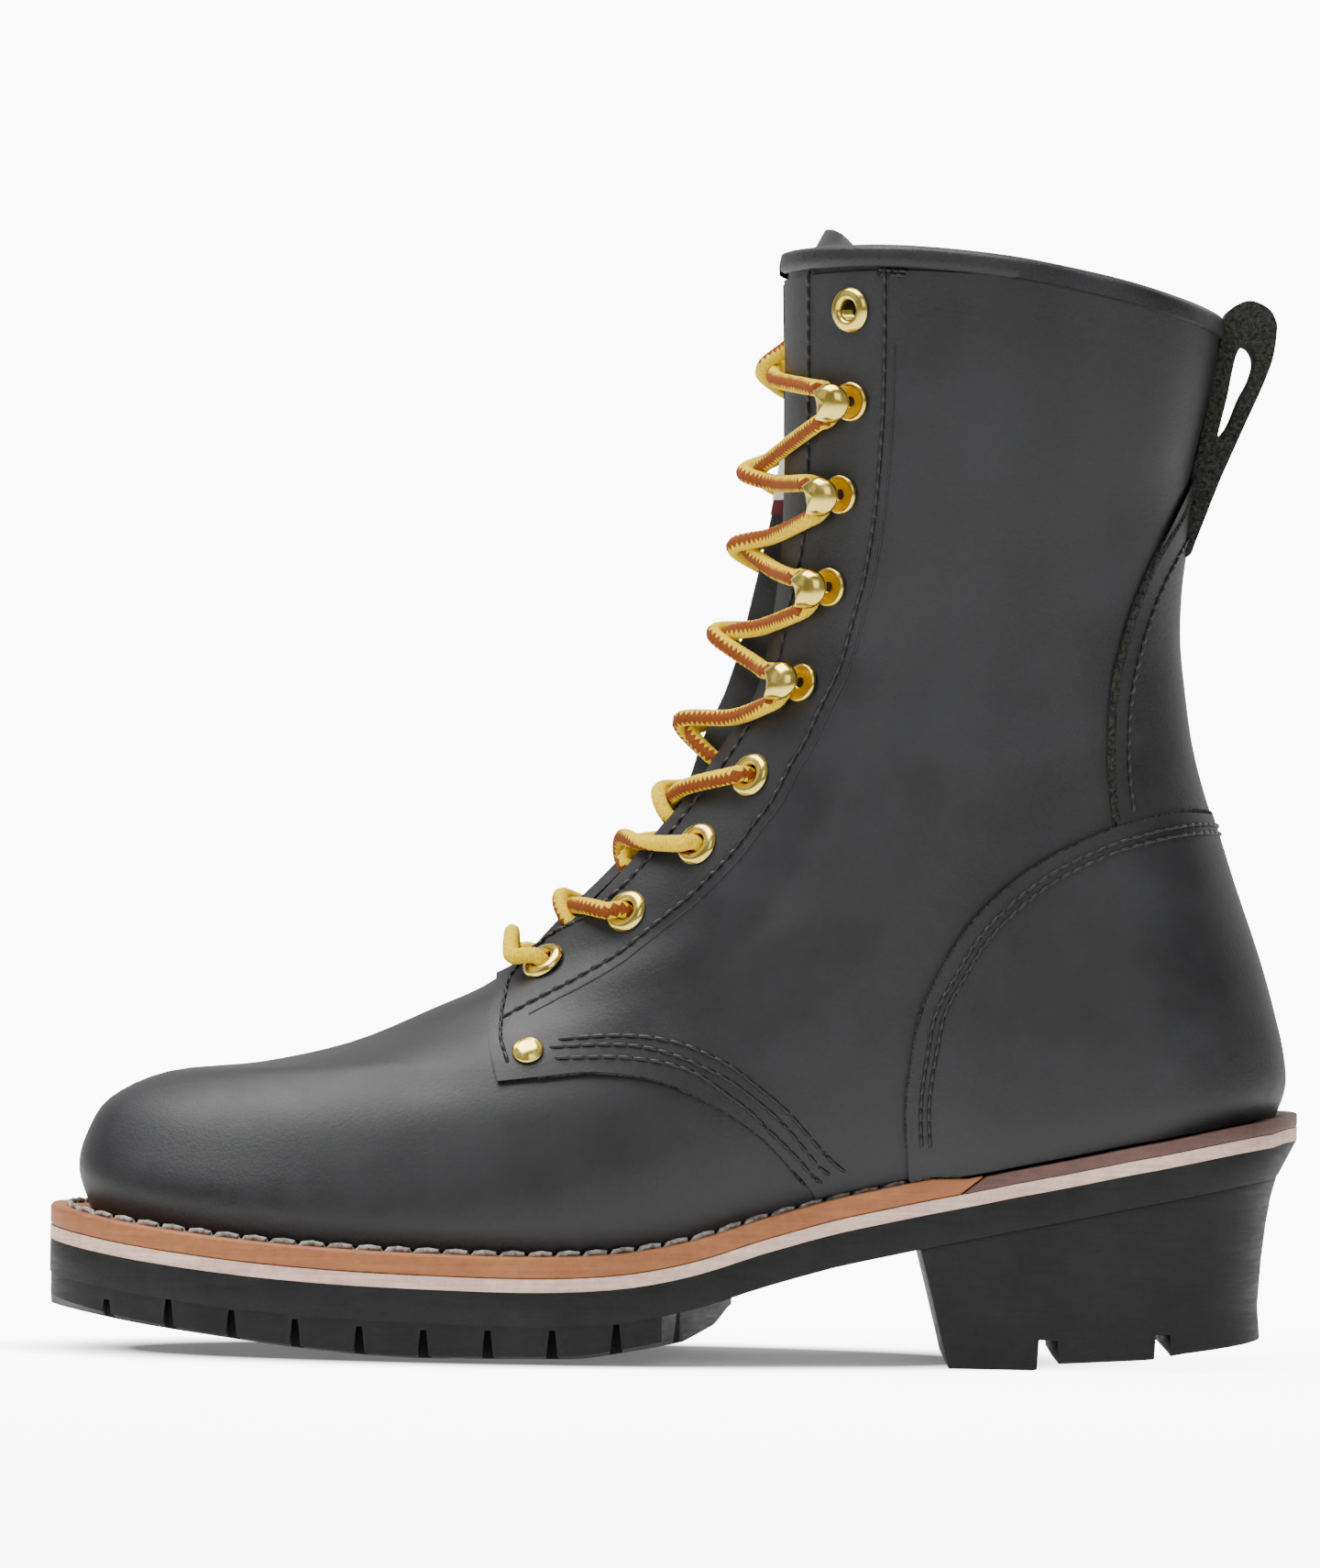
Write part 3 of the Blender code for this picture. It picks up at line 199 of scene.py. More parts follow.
def curve_through(values, where):
    """Catmull-Rom value of a list of numbers at a fractional index."""
    last = len(values) - 1
    where = min(max(where, 0.0), float(last))
    i = min(int(where), last - 1)
    t = where - i
    p1, p2 = values[i], values[i + 1]
    p0 = values[i - 1] if i > 0 else 2 * p1 - p2
    p3 = values[i + 2] if i + 2 <= last else 2 * p2 - p1
    bend = 2 * p0 - 5 * p1 + 4 * p2 - p3
    return 0.5 * (2 * p1 + (p2 - p0) * t + bend * t**2 + (3 * p1 - p0 - 3 * p2 + p3) * t**3)


def index_of(xs, x):
    """Fractional index of x in a rising list."""
    i = 0
    while i < len(xs) - 2 and x > xs[i + 1]:
        i += 1
    return i + min(max((x - xs[i]) / (xs[i + 1] - xs[i]), 0.0), 1.0)


def height_along(stations, x):
    """Height at x on the smooth line through a list of stations."""
    where = index_of([station.x for station in stations], x)
    return curve_through([station.z for station in stations], where)


def table_at(table, where):
    """The row of a table at a fractional place between its rows."""
    return type(table[0])(*(curve_through(column, where) for column in zip(*table)))


def smooth_step(t):
    t = min(max(t, 0.0), 1.0)
    return t * t * (3 - 2 * t)


def welt_top(x):
    """Top of the welt, which thins where it runs under the heel rand."""
    thick = WELT_THICK + (RAND_THICK - WELT_THICK) * smooth_step((x - WELT_ENDS_AT + 10) / 12)
    return height_along(SEATS, x) + GAP + thick


@lru_cache(maxsize=None)
def row_at(where):
    return table_at(ROWS, where)


def blend(a, b, t):
    return a + (b - a) * (1 - math.cos(math.pi * t)) / 2


def plan_point(row, side, share):
    """Point (x, y) of a row seen from above, at a share of one side from its front tip to its back tip."""
    fore = row.fore_in if side < 0 else row.fore_out
    mid = row.mid_in if side < 0 else row.mid_out
    sway = TOE_SWAY * smooth_step((-45 - row.front_x) / 90)
    if share <= FORE_END:
        angle = math.pi / 2 * share / FORE_END
        reach = math.cos(angle) ** (2 / row.power)
        x = row.fore_at - (row.fore_at - row.front_x) * reach
        return x, side * fore * math.sin(angle) ** (2 / row.power) + sway * reach**2
    if share <= MID_END:
        t = (share - FORE_END) / (MID_END - FORE_END)
        return row.fore_at + (row.mid_at - row.fore_at) * t, side * blend(fore, mid, t)
    if share <= REAR_START:
        t = (share - MID_END) / (REAR_START - MID_END)
        return row.mid_at + (row.rear_at - row.mid_at) * t, side * blend(mid, row.rear_half, t)
    angle = math.pi / 2 * (1 - share) / (1 - REAR_START)
    x = row.rear_at + (row.back_x - row.rear_at) * max(math.cos(angle), 0.0) ** (2 / BACK_POWER)
    return x, side * row.rear_half * math.sin(angle) ** (2 / BACK_POWER)


def seat_dip(x):
    """How far the welt's top dips below the straight line from toe to heel."""
    first = ROWS[0]
    start, end = welt_top(first.front_x), welt_top(first.back_x)
    t = (x - first.front_x) / (first.back_x - first.front_x)
    return start + (end - start) * t - welt_top(x)


def skin_base(where, place):
    """Point of the outer skin. `place` runs from 0 at the front tip to -1 (inner side) or +1 (outer side)."""
    if abs(place) > 1:
        place -= math.copysign(2, place)
    side = -1 if place < 0 else 1
    row = row_at(where)
    x, y = plan_point(row, side, abs(place))
    t = (x - row.front_x) / (row.back_x - row.front_x)
    dip = seat_dip(x) - seat_dip(row.front_x) * (1 - t) - seat_dip(row.back_x) * t
    crown = COLLAR_CROWN * smooth_step((where - LAST_ROW + 1.5) / 1.5) * math.sin(math.pi * t)
    return Vector((x, y, row.front_z + (row.back_z - row.front_z) * t - row.follow * dip + crown))


def skin_normal(where, place):
    step, turn = 0.02, 0.004
    low, high = max(where - step, 0.0), min(where + step, float(LAST_ROW))
    up = skin_base(high, place) - skin_base(low, place)
    along = skin_base(where, place + turn) - skin_base(where, place - turn)
    return up.cross(along).normalized()


def skin(where, place, lift=0.0):
    return skin_base(where, place) + skin_normal(where, place) * lift


def throat_place(where, half):
    """Place where a row comes within `half` of the middle at the throat, 0 on a row with no throat."""
    if half <= 0 or where <= THROAT_ROW:
        return 0.0
    row = row_at(where)
    return FORE_END * math.asin((half / row.fore_in) ** (row.power / 2)) / (math.pi / 2)


def throat_half(where, back):
    """Half the width of the throat, which opens in a round-ended slot; `back` draws the edge back."""
    opened = min(max((where - THROAT_ROW) / 1.0, 0.0), 1.0)
    return max(THROAT_HALF * math.sqrt(opened) + back * opened, 0.0)


# The vamp and lining: one layer of leather pulled over the last, open at the throat and the collar.
# It stands on the welt and the rand, and the eyelets go through it.
FORE_STEPS, MID_STEPS, REAR_STEPS, BACK_STEPS = 26, 10, 9, 18
WELD = 0.00002


def side_shares(start):
    """Shares of one side, from `start` in the front quarter to the back tip."""
    shares = [start + (FORE_END - start) * i / FORE_STEPS for i in range(FORE_STEPS)]
    shares += [FORE_END + (MID_END - FORE_END) * i / MID_STEPS for i in range(MID_STEPS)]
    shares += [MID_END + (REAR_START - MID_END) * i / REAR_STEPS for i in range(REAR_STEPS)]
    shares += [REAR_START + (1 - REAR_START) * i / BACK_STEPS for i in range(BACK_STEPS)]
    return shares


def around(start):
    """Places right round a row, from the inner front edge by the back tip to the outer front edge."""
    shares = side_shares(start)
    return [-share for share in shares] + [1.0] + shares[::-1]


def quads(rows, width, closed=False, base=0):
    """Faces between rows of points. A closed row also joins its last point to its first."""
    faces = []
    for i in range(rows - 1):
        for j in range(width if closed else width - 1):
            k = (j + 1) % width
            low, high = base + i * width, base + (i + 1) * width
            faces.append((low + j, low + k, high + k, high + j))
    return faces


def end_caps(rows, width, base=0):
    """The two faces that close a tube."""
    last = base + (rows - 1) * width
    return [tuple(range(base + width - 1, base - 1, -1)), tuple(range(last, last + width))]


def shown(name, data):
    """An object in the scene from its mesh, lamp or camera data."""
    made = bpy.data.objects.new(name, data)
    bpy.context.scene.collection.objects.link(made)
    return made


def remade(made, job):
    """Runs one job on the geometry of an object's mesh."""
    bm = bmesh.new()
    bm.from_mesh(made.data)
    job(bm)
    bm.to_mesh(made.data)
    bm.free()
    return made


def face_outwards(bm):
    bmesh.ops.recalc_face_normals(bm, faces=bm.faces)


def face_outwards_in_triangles(bm):
    face_outwards(bm)
    bmesh.ops.triangulate(bm, faces=[face for face in bm.faces if len(face.verts) > 4])


def solid_of(name, points, faces):
    """An object from points in metres, with the points that coincide joined."""
    mesh = bpy.data.meshes.new(name)
    mesh.from_pydata(points, [], faces)
    return remade(shown(name, mesh), lambda bm: bmesh.ops.remove_doubles(bm, verts=bm.verts, dist=WELD))


def smooth_mesh(name, rows):
    """A smooth sheet object from rows of points in millimetres."""
    points = [tuple(point * MM) for row in rows for point in row]
    return solid_of(name, points, quads(len(rows), len(rows[0])))


def settle(made, angle=40):
    """Applies the modifiers, and shades smooth up to an angle."""
    bpy.ops.object.select_all(action="DESELECT")
    bpy.context.view_layer.objects.active = made
    made.select_set(True)
    bpy.ops.object.convert(target="MESH")
    bpy.ops.object.shade_smooth_by_angle(angle=math.radians(angle))
    return made


def walled(made, wall):
    """Gives a sheet its thickness, towards the inside."""
    step = made.modifiers.new("wall", "SOLIDIFY")
    step.thickness = wall * MM
    step.offset = -1.0
    return made


def eased(made, width, segments=2, angle=40):
    """Rounds the sharp edges of a piece."""
    step = made.modifiers.new("eased", "BEVEL")
    step.width = width * MM
    step.segments = segments
    step.limit_method = "ANGLE"
    step.angle_limit = math.radians(angle)
    return made


def carved(made, cutter, operation="DIFFERENCE"):
    """Cuts a piece by another, or keeps what both share."""
    step = made.modifiers.new(operation.lower(), "BOOLEAN")
    step.operation = operation
    step.object = cutter
    return made


def drop(*objects):
    for thing in objects:
        bpy.data.objects.remove(thing, do_unlink=True)


def finished(made, paint):
    """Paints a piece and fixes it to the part's one body."""
    made.data.materials.clear()
    made.data.materials.append(paint)
    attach(made, "root")
    return made


def upper_marks(start, top):
    """Places of the sheet's lines between two rows, close together round the foot of the throat."""
    marks = [start] + [i / 4 for i in range(1, 32)]
    marks += [8.0, 8.03, 8.08, 8.15, 8.25, 8.4, 8.55, 8.7, 8.85]
    marks += [9 + i / 4 for i in range(31)]
    return sorted(mark for mark in marks if start <= mark < top) + [top]


def throat_sheet(start, top, back, lift):
    """Rows of points of one layer of the upper, between two rows of the table."""
    rows = []
    for mark in upper_marks(start, top):
        edge = throat_place(mark, throat_half(mark, back))
        rows.append([skin(mark, place, lift) for place in around(edge)])
    return rows


vamp = smooth_mesh("vamp_and_lining", throat_sheet(0.0, LAST_ROW - 0.05, LINING_BACK, 0.0))
walled(vamp, LINING_WALL)

# Fasteners: place on the inner side, which the outer side repeats, and rise off the leather.
Fastener = namedtuple("Fastener", "x z rise")
RIVET = Fastener(-36.8, 77.0, 0.2)
EYELETS = [
    Fastener(-33.3, 98.2, 0.9), Fastener(-13.2, 111.6, 0), Fastener(4.1, 128.7, 0),
    Fastener(17.0, 146.0, 0), Fastener(39.7, 260.7, 0),
]
HOOKS = [
    Fastener(29.6, 168.9, 0.4), Fastener(36.0, 192.7, 0.2), Fastener(38.4, 215.6, 0.2),
    Fastener(40.5, 238.4, 0.2),
]
SIDES = (("in", -1), ("out", 1))
EYELET_BARREL = 2.95
EYELET_BORE = 2.5

GRID_ROWS = [i / 10 for i in range(LAST_ROW * 10 + 1)]
GRID_PLACES = [0.004 + 0.996 * i / 180 for i in range(181)]
GRIDS = {}
for side in (-1, 1):
    sampled = [[skin(row, side * place, QUARTER_RISE) for place in GRID_PLACES] for row in GRID_ROWS]
    GRIDS[side] = np.array(sampled)


def find_on_skin(x, z, side):
    """Row and place of the skin point that is seen at (x, z) from one side."""
    grid = GRIDS[side]
    miss = (grid[:, :, 0] - x) ** 2 + (grid[:, :, 2] - z) ** 2
    i, j = np.unravel_index(int(miss.argmin()), miss.shape)
    row, place = GRID_ROWS[i], GRID_PLACES[j]
    reach_row, reach_place = 0.1, 0.006
    best = float(miss[i, j])
    for _ in range(4):
        centre = (row, place)
        for a in (-1, -0.5, 0, 0.5, 1):
            for b in (-1, -0.5, 0, 0.5, 1):
                try_row = min(max(centre[0] + reach_row * a, 0.0), float(LAST_ROW))
                try_place = min(max(centre[1] + reach_place * b, 0.002), 1.0)
                point = skin(try_row, side * try_place, QUARTER_RISE)
                off = (point.x - x) ** 2 + (point.z - z) ** 2
                if off < best:
                    best, row, place = off, try_row, try_place
        reach_row *= 0.5
        reach_place *= 0.5
    return row, side * place


def seat_frame(fastener, side):
    """Matrix of a fastener: origin on the quarter's surface, Z axis out of it and X axis to the throat."""
    where, place = find_on_skin(fastener.x, fastener.z, side)
    out = skin_normal(where, place)
    origin = skin(where, place, QUARTER_RISE + fastener.rise)
    ahead = (skin(where, place * 0.9, QUARTER_RISE + fastener.rise) - origin).normalized()
    ahead = (ahead - out * ahead.dot(out)).normalized()
    across = out.cross(ahead)
    turn = Matrix((ahead, across, out)).transposed().to_4x4()
    return Matrix.Translation(origin * MM) @ turn


def turned(name, profile, frame_matrix, segments=40, closed=True):
    """A solid turned about the Z axis of a frame, from a profile of (radius, height) in millimetres."""
    points, faces = [], []
    count = len(profile)
    for i in range(segments):
        angle = 2 * math.pi * i / segments
        for radius, height in profile:
            spot = Vector((radius * math.cos(angle), radius * math.sin(angle), height)) * MM
            points.append(tuple(frame_matrix @ spot))
    for i in range(segments):
        k = (i + 1) % segments
        for j in range(count if closed else count - 1):
            n = (j + 1) % count
            faces.append((i * count + j, k * count + j, k * count + n, i * count + n))
    return solid_of(name, points, faces)


def merged(name, parts):
    """One object of several parts."""
    bpy.ops.object.select_all(action="DESELECT")
    for part in parts:
        part.select_set(True)
    bpy.context.view_layer.objects.active = parts[0]
    bpy.ops.object.join()
    parts[0].name = name
    return parts[0]


DRILL_LOW, DRILL_HIGH = -8, 6
drill_profile = [(0, DRILL_LOW), (EYELET_BARREL, DRILL_LOW), (EYELET_BARREL, DRILL_HIGH), (0, DRILL_HIGH)]
drills = []
for side in (-1, 1):
    for eyelet in EYELETS:
        drills.append(turned("drill", drill_profile, seat_frame(eyelet, side), 20, closed=False))
drill = merged("drills", drills)


def drop_loose_edges(bm):
    bmesh.ops.delete(bm, geom=[edge for edge in bm.edges if not edge.link_faces], context="EDGES")
    face_outwards(bm)


remade(drill, drop_loose_edges)
carved(vamp, drill)
settle(vamp)
finished(vamp, LEATHER)
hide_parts("upper")


# The quarters: thick panels over the vamp, cut to a line that sweeps from the lace corner down to the waist.
# Three rows of stitches and a rivet at the corner hold them to the vamp.
QUARTER_FRONT = [(-45.6, 96.0), (-45.7, 91.0), (-46.9, 85.0), (-46.3, 78.0), (-44.2, 69.6)]
QUARTER_FOOT = [
    (-44.2, 69.6), (-34.3, 70.8), (-21.5, 72.2), (-8.4, 71.2), (1.3, 68.2), (11.1, 63.4), (20.9, 56.8),
    (27.6, 50.1), (33.0, 44.4), (38.5, 36.0),
]
QUARTER_REST = [(50.0, 10.0), (220.0, 10.0), (220.0, 340.0), (-45.6, 340.0)]
QUARTER_WALL = 2.3


def fair_line(points, steps=8):
    """A smooth line through points seen from the side."""
    xs = [point[0] for point in points]
    zs = [point[1] for point in points]
    count = (len(points) - 1) * steps
    return [(curve_through(xs, i / steps), curve_through(zs, i / steps)) for i in range(count + 1)]


def side_prism(name, outline, half_width):
    """A flat outline seen from the side, drawn out to both sides of the middle."""
    count = len(outline)
    points = [(x * MM, -half_width * MM, z * MM) for x, z in outline]
    points += [(x * MM, half_width * MM, z * MM) for x, z in outline]
    faces = [tuple(range(count)), tuple(range(2 * count - 1, count - 1, -1))]
    for i in range(count):
        j = (i + 1) % count
        faces.append((i, i + count, j + count, j))
    return remade(solid_of(name, points, faces), face_outwards_in_triangles)


quarters = smooth_mesh("quarters", throat_sheet(0.12, LAST_ROW - 0.2, 0.0, QUARTER_RISE))
walled(quarters, QUARTER_WALL)
outline = fair_line(QUARTER_FRONT) + fair_line(QUARTER_FOOT)[1:] + QUARTER_REST
panel = side_prism("quarter_panel", outline, 90.0)
carved(quarters, panel, "INTERSECT")
carved(quarters, drill)
settle(quarters)
finished(quarters, LEATHER)
drop(panel, drill)


# The collar binding: a soft strip of leather folded over the top edge of quarters and lining.
# It runs from one facing round the back to the other, and its ends are cut off square.
BINDING_TALL = 5.0
BINDING_PROUD = 0.7
BINDING_ROW = LAST_ROW - 0.02


def binding_section(place):
    """Half-round fold over the edge at one place: outside, crown and inside."""
    top = skin(BINDING_ROW, place, 0.0)
    out = skin_normal(BINDING_ROW, place)
    up = Vector((0, 0, 1))
    high = QUARTER_RISE + BINDING_PROUD
    low = -LINING_WALL - BINDING_PROUD
    middle = (high + low) / 2
    half = (high - low) / 2
    section = [top + out * (QUARTER_RISE - 0.3) - up * (BINDING_TALL + 0.1)]
    section += [top + out * high - up * (BINDING_TALL - 0.5)]
    section += [top + out * (high + 0.15) - up * (BINDING_TALL / 2)]
    for i in range(9):
        angle = math.pi * i / 8
        crown = half * 0.55 * math.sin(angle) - 0.9
        section.append(top + out * (middle + half * math.cos(angle)) + up * crown)
    section += [top + out * low - up * (BINDING_TALL - 0.5)]
    section += [top + out * (0.4 - LINING_WALL) - up * (BINDING_TALL + 0.1)]
    return section


rim_edge = throat_place(LAST_ROW, throat_half(LAST_ROW, 0.0))
binding = smooth_mesh("collar_binding", [binding_section(place) for place in around(rim_edge)])


def close_ends(bm):
    bmesh.ops.holes_fill(bm, edges=bm.edges, sides=20)
    face_outwards(bm)


remade(binding, close_ends)
settle(binding, 60)
finished(binding, black_leather("binding_leather", 0.9, 2.2))


# The tongue: a softer leaf of leather behind the lace, fixed under the foot of the throat.
# The lace lets it bulge out in the middle of the shaft, and its top is rounded.
TONGUE_CLEAR = 0.7
TONGUE_HALF = 31.0
TONGUE_BULGE_HALF = 8.0
TONGUE_LEAN = 0.15
TONGUE_WALL = 2.6
Tongue = namedtuple("Tongue", "row rise bulge")
TONGUE_ROWS = [
    Tongue(6.4, 0, 0), Tongue(7.2, 0, 0), Tongue(8.0, 0, 0), Tongue(9.0, 0, 0.4), Tongue(10.0, 0, 0.6),
    Tongue(11.0, 0, 2.4), Tongue(12.0, 0, 7.2), Tongue(13.0, 0, 9.6), Tongue(14.0, 0, 9.0),
    Tongue(14.7, 0, 7.6), Tongue(15.4, 0, 4.6), Tongue(16.0, 0, 1.0), Tongue(17.0, 0, -3.6),
    Tongue(17.0, 5.4, -6.2),
]
TONGUE_STEPS, TONGUE_COLUMNS = 5, 24
TONGUE_CROWD = 1.3


def tongue_bulge(row, y):
    """How far the tongue stands out of its plain place behind the lining."""
    rows = [station.row for station in TONGUE_ROWS[:-1]]
    bulge = curve_through([station.bulge for station in TONGUE_ROWS], index_of(rows, row))
    if bulge < 0:
        return bulge
    return bulge * math.cos(math.pi / 2 * min(abs(y) / TONGUE_BULGE_HALF, 1.0)) ** 2


tongue_rows = []
for k in range((len(TONGUE_ROWS) - 1) * TONGUE_STEPS, -1, -1):
    station = table_at(TONGUE_ROWS, k / TONGUE_STEPS)
    row_mark = min(station.row, float(LAST_ROW))
    edge = throat_place(max(row_mark, THROAT_ROW + 0.1), TONGUE_HALF)
    row = []
    for i in range(-TONGUE_COLUMNS, TONGUE_COLUMNS + 1):
        share = i / TONGUE_COLUMNS
        place = edge * math.copysign(abs(share) ** TONGUE_CROWD, share)
        bulge = station.bulge
        if bulge > 0:
            reach = min(abs(skin(row_mark, place).y) / TONGUE_BULGE_HALF, 1.0)
            bulge *= math.cos(math.pi / 2 * reach) ** 2
        rise = max(station.rise, 0.0) * (1 - share**4)
        point = skin(row_mark, place, bulge - LINING_WALL - TONGUE_CLEAR)
        row.append(point + Vector((TONGUE_LEAN * rise, 0, rise)))
    tongue_rows.append(row)
tongue = smooth_mesh("tongue_leaf", tongue_rows)
walled(tongue, TONGUE_WALL)
eased(tongue, 0.8, 3, 60)
settle(tongue, 60)
finished(tongue, black_leather("tongue_leather", 0.9, 1.6))
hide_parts("tongue")


def at_half(row, y, lift):
    """Point over a row of the skin at a distance y from the middle."""
    return skin(row, math.copysign(throat_place(row, abs(y)), y), lift)


# A blank woven label sewn to the tongue near its top, white with dark red edges.
# The red is a wider strip of cloth under the white one.
LABEL_ROWS = (15.15, 16.55)
LABEL_HALF = 13.0
LABEL_WALL = 0.5
LABEL_RISE, LABEL_EDGE_RISE = 0.55, 0.35
LABEL_EDGE, LABEL_END = 0.9, 0.12
LABEL_STEPS_UP, LABEL_STEPS_ACROSS = 24, 32
label_white, shader, place = new_finish("woven_label", (0.72, 0.72, 0.74), 0.85)
bumped(shader, noise(place, 1800.0, 1.0), 0.5, 0.15)
label_red, shader, place = new_finish("label_edge", (0.11, 0.012, 0.018), 0.85)
Cloth = namedtuple("Cloth", "name half end rise paint")
CLOTHS = [
    Cloth("label_edge", LABEL_HALF + LABEL_EDGE, 0.0, LABEL_EDGE_RISE, label_red),
    Cloth("label", LABEL_HALF, LABEL_END, LABEL_RISE, label_white),
]
for cloth in CLOTHS:
    low, high = LABEL_ROWS
    label_rows = []
    for i in range(LABEL_STEPS_UP + 1):
        row_mark = (high - cloth.end) + (low - high + 2 * cloth.end) * i / LABEL_STEPS_UP
        row = []
        for j in range(LABEL_STEPS_ACROSS + 1):
            y = cloth.half * (2 * j / LABEL_STEPS_ACROSS - 1)
            bulge = tongue_bulge(row_mark, y)
            row.append(at_half(row_mark, y or 0.01, bulge - LINING_WALL - TONGUE_CLEAR + cloth.rise))
        label_rows.append(row)
    patch = smooth_mesh(cloth.name, label_rows)
    walled(patch, LABEL_WALL)
    settle(patch)
    finished(patch, cloth.paint)


# The counter pocket: a curved panel of the same leather round the heel, its edge left raw.
# It lies over the quarters and is sewn down with two rows of stitches.
OVERLAY_WALL = 1.7
COUNTER_TOP = [
    (150.0, 137.6), (134.0, 138.0), (124.5, 138.3), (112.8, 135.8), (101.4, 131.6), (85.6, 122.8),
    (72.2, 110.2), (63.3, 95.6), (58.8, 81.8), (56.8, 66.4), (57.2, 55.0), (58.2, 42.0),
]


def overlay(name, start, end, first_share, outline, lift):
    """A panel over the quarters, kept inside an outline seen from the side."""
    marks = [start + (end - start) * i / 44 for i in range(45)]
    shares = [share for share in side_shares(0.0) if share >= first_share]
    places = [-share for share in shares] + [1.0] + shares[::-1]
    made = smooth_mesh(name, [[skin(mark, place, lift) for place in places] for mark in marks])
    walled(made, OVERLAY_WALL + 0.6)
    panel = side_prism(name + "_panel", outline, 90.0)
    carved(made, panel, "INTERSECT")
    settle(made)
    drop(panel)
    return made


counter_outline = fair_line(COUNTER_TOP) + [(58.2, 20.0), (190.0, 20.0), (190.0, 137.6)]
counter_lift = QUARTER_RISE + OVERLAY_WALL
counter = overlay("counter_pocket", 0.1, 9.5, MID_END - 0.13, counter_outline, counter_lift)
finished(counter, LEATHER)
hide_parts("counter")


# The backstay: a strip of leather over the back seam, sewn down beside its raw edge.
# The pull loop is the same strap, doubled, and stands up behind the collar.
BACKSTAY_SIDE = [
    (110.2, 130.0), (107.8, 136.0), (106.2, 153.1), (106.6, 166.7), (109.2, 180.4), (112.8, 191.9),
    (118.0, 203.5), (126.2, 219.8), (128.5, 224.2),
]
LOOP_OUTSIDE = [
    (125.0, 203.0), (125.6, 213.0), (126.2, 221.0), (128.2, 230.0), (130.8, 243.0), (132.2, 252.0),
    (133.5, 258.0), (134.8, 263.4), (137.8, 265.8), (141.1, 266.5), (145.1, 264.7), (146.9, 262.0),
    (147.3, 259.0), (146.3, 251.9), (143.6, 244.5), (140.2, 236.8), (136.4, 228.0), (133.5, 221.2),
    (130.0, 212.0), (127.6, 205.6), (126.6, 203.0),
]
LOOP_HOLE = [
    (139.0, 255.4), (141.0, 254.6), (142.1, 251.4), (141.0, 247.0), (138.7, 242.5), (135.8, 235.4),
    (133.0, 232.4), (133.6, 236.0), (135.0, 242.0), (137.0, 252.2),
]
STRAP_HALF = 9.0
backstay_outline = fair_line(BACKSTAY_SIDE) + [(190.0, 214.0), (190.0, 130.0)]
backstay = overlay("backstay_strip", 6.9, 15.4, REAR_START, backstay_outline, counter_lift - 0.5)


def closed_line(points, steps=5):
    """A smooth closed line through points seen from the side."""
    count = len(points)
    around_it = points[-3:] + points + points[:3]
    line = fair_line(around_it, steps)
    return line[3 * steps:(3 + count) * steps]


loop = side_prism("pull_loop", closed_line(LOOP_OUTSIDE), STRAP_HALF)
hole = side_prism("loop_hole", closed_line(LOOP_HOLE), STRAP_HALF + 4)
carved(loop, hole)
eased(loop, 0.5, 2, 60)
settle(loop)
drop(hole)
finished(backstay, black_leather("strap_leather", 0.95, 1.4))
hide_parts("backstay")

# Raw leather: the cut edge of a strap or panel, where the dye is thinner and the fibres stand up.
raw, shader, place = new_finish("raw_leather_edge", (0.03, 0.03, 0.03), 0.9, shine=0.2)
fibres = ramp(noise(place, 900.0, 5.0, 0.85), 0.40, 0.62)
feed(shader, "Base Color", tint(fibres, (0.005, 0.005, 0.005), (0.062, 0.064, 0.054)))
bumped(shader, noise(place, 1100.0, 5.0, 0.85), 1.0, 0.8)
finished(loop, raw)


# The sole's layers share one outline seen from above. From the top they are the welt and rand, the pale
# midsole, and the rubber outsole with its heel block.
SOLE = Row(-155.9, 0, 155.9, 0, 0, 2.35, -66, 55.0, 55.0, 40, 32.0, 40.0, 122, 37.0)
SLAB_FOOT = SOLE._replace(back_x=151.4, rear_half=36.3)
WELT_WIDTH = 15.0
MIDSOLE_THICK = 3.3
INSOLE_THICK = 3.4
SLAB_THICK = 8.0
SLAB_SEAT = 0.25
CROWN_RISE = 2.7
PAD_INSET = 0.3
NOTCH_DEPTH = 6.4
TREADS = [
    Seat(-156, 11.6), Seat(-133, 7.4), Seat(-108, 4.0), Seat(-84, 1.3), Seat(-62, 0.0), Seat(-24, 0.0),
    Seat(-10, 2.0), Seat(3, 4.6), Seat(20, 9.0),
]
PAD_ENDS_AT = 6.0
PAD_END_SKEW = 0.22
NOTCH_FIRST, NOTCH_PITCH, NOTCH_COUNT = -139.5, 15.7, 9
NOTCH_OUTER_STEP = 2.5
NOTCH_REACH_IN, NOTCH_REACH_OUT = 19.0, 6.0
NOTCH_TOP, NOTCH_FOOT = 1.4, 4.6
BAR_COUNT, BAR_DEPTH, BAR_TOP = 4, 5.0, 3.0
BAR_LAND, BAR_FRONT = 2.0, 30.0
CUT_BELOW = 8.0
TIP_CUT = 0.15


def share_at(row, x, side=1):
    """Share of a side at which a plan outline reaches x."""
    low, high = 0.0, 1.0
    for _ in range(40):
        middle = (low + high) / 2
        if plan_point(row, side, middle)[0] < x:
            low = middle
        else:
            high = middle
    return low


def plan_half(row, side, x):
    """Half width of a plan outline at x, by the same curves as plan_point."""
    return plan_point(row, side, share_at(row, x, side))[1]


def inset(row, edge, front=None, back=None):
    """The plan outline drawn in by `edge` all round, or by other amounts at its two tips."""
    front = edge if front is None else front
    back = edge if back is None else back
    return row._replace(
        front_x=row.front_x + front,
        back_x=row.back_x - back,
        fore_in=row.fore_in - edge,
        fore_out=row.fore_out - edge,
        mid_in=row.mid_in - edge,
        mid_out=row.mid_out - edge,
        rear_half=row.rear_half - edge,
    )


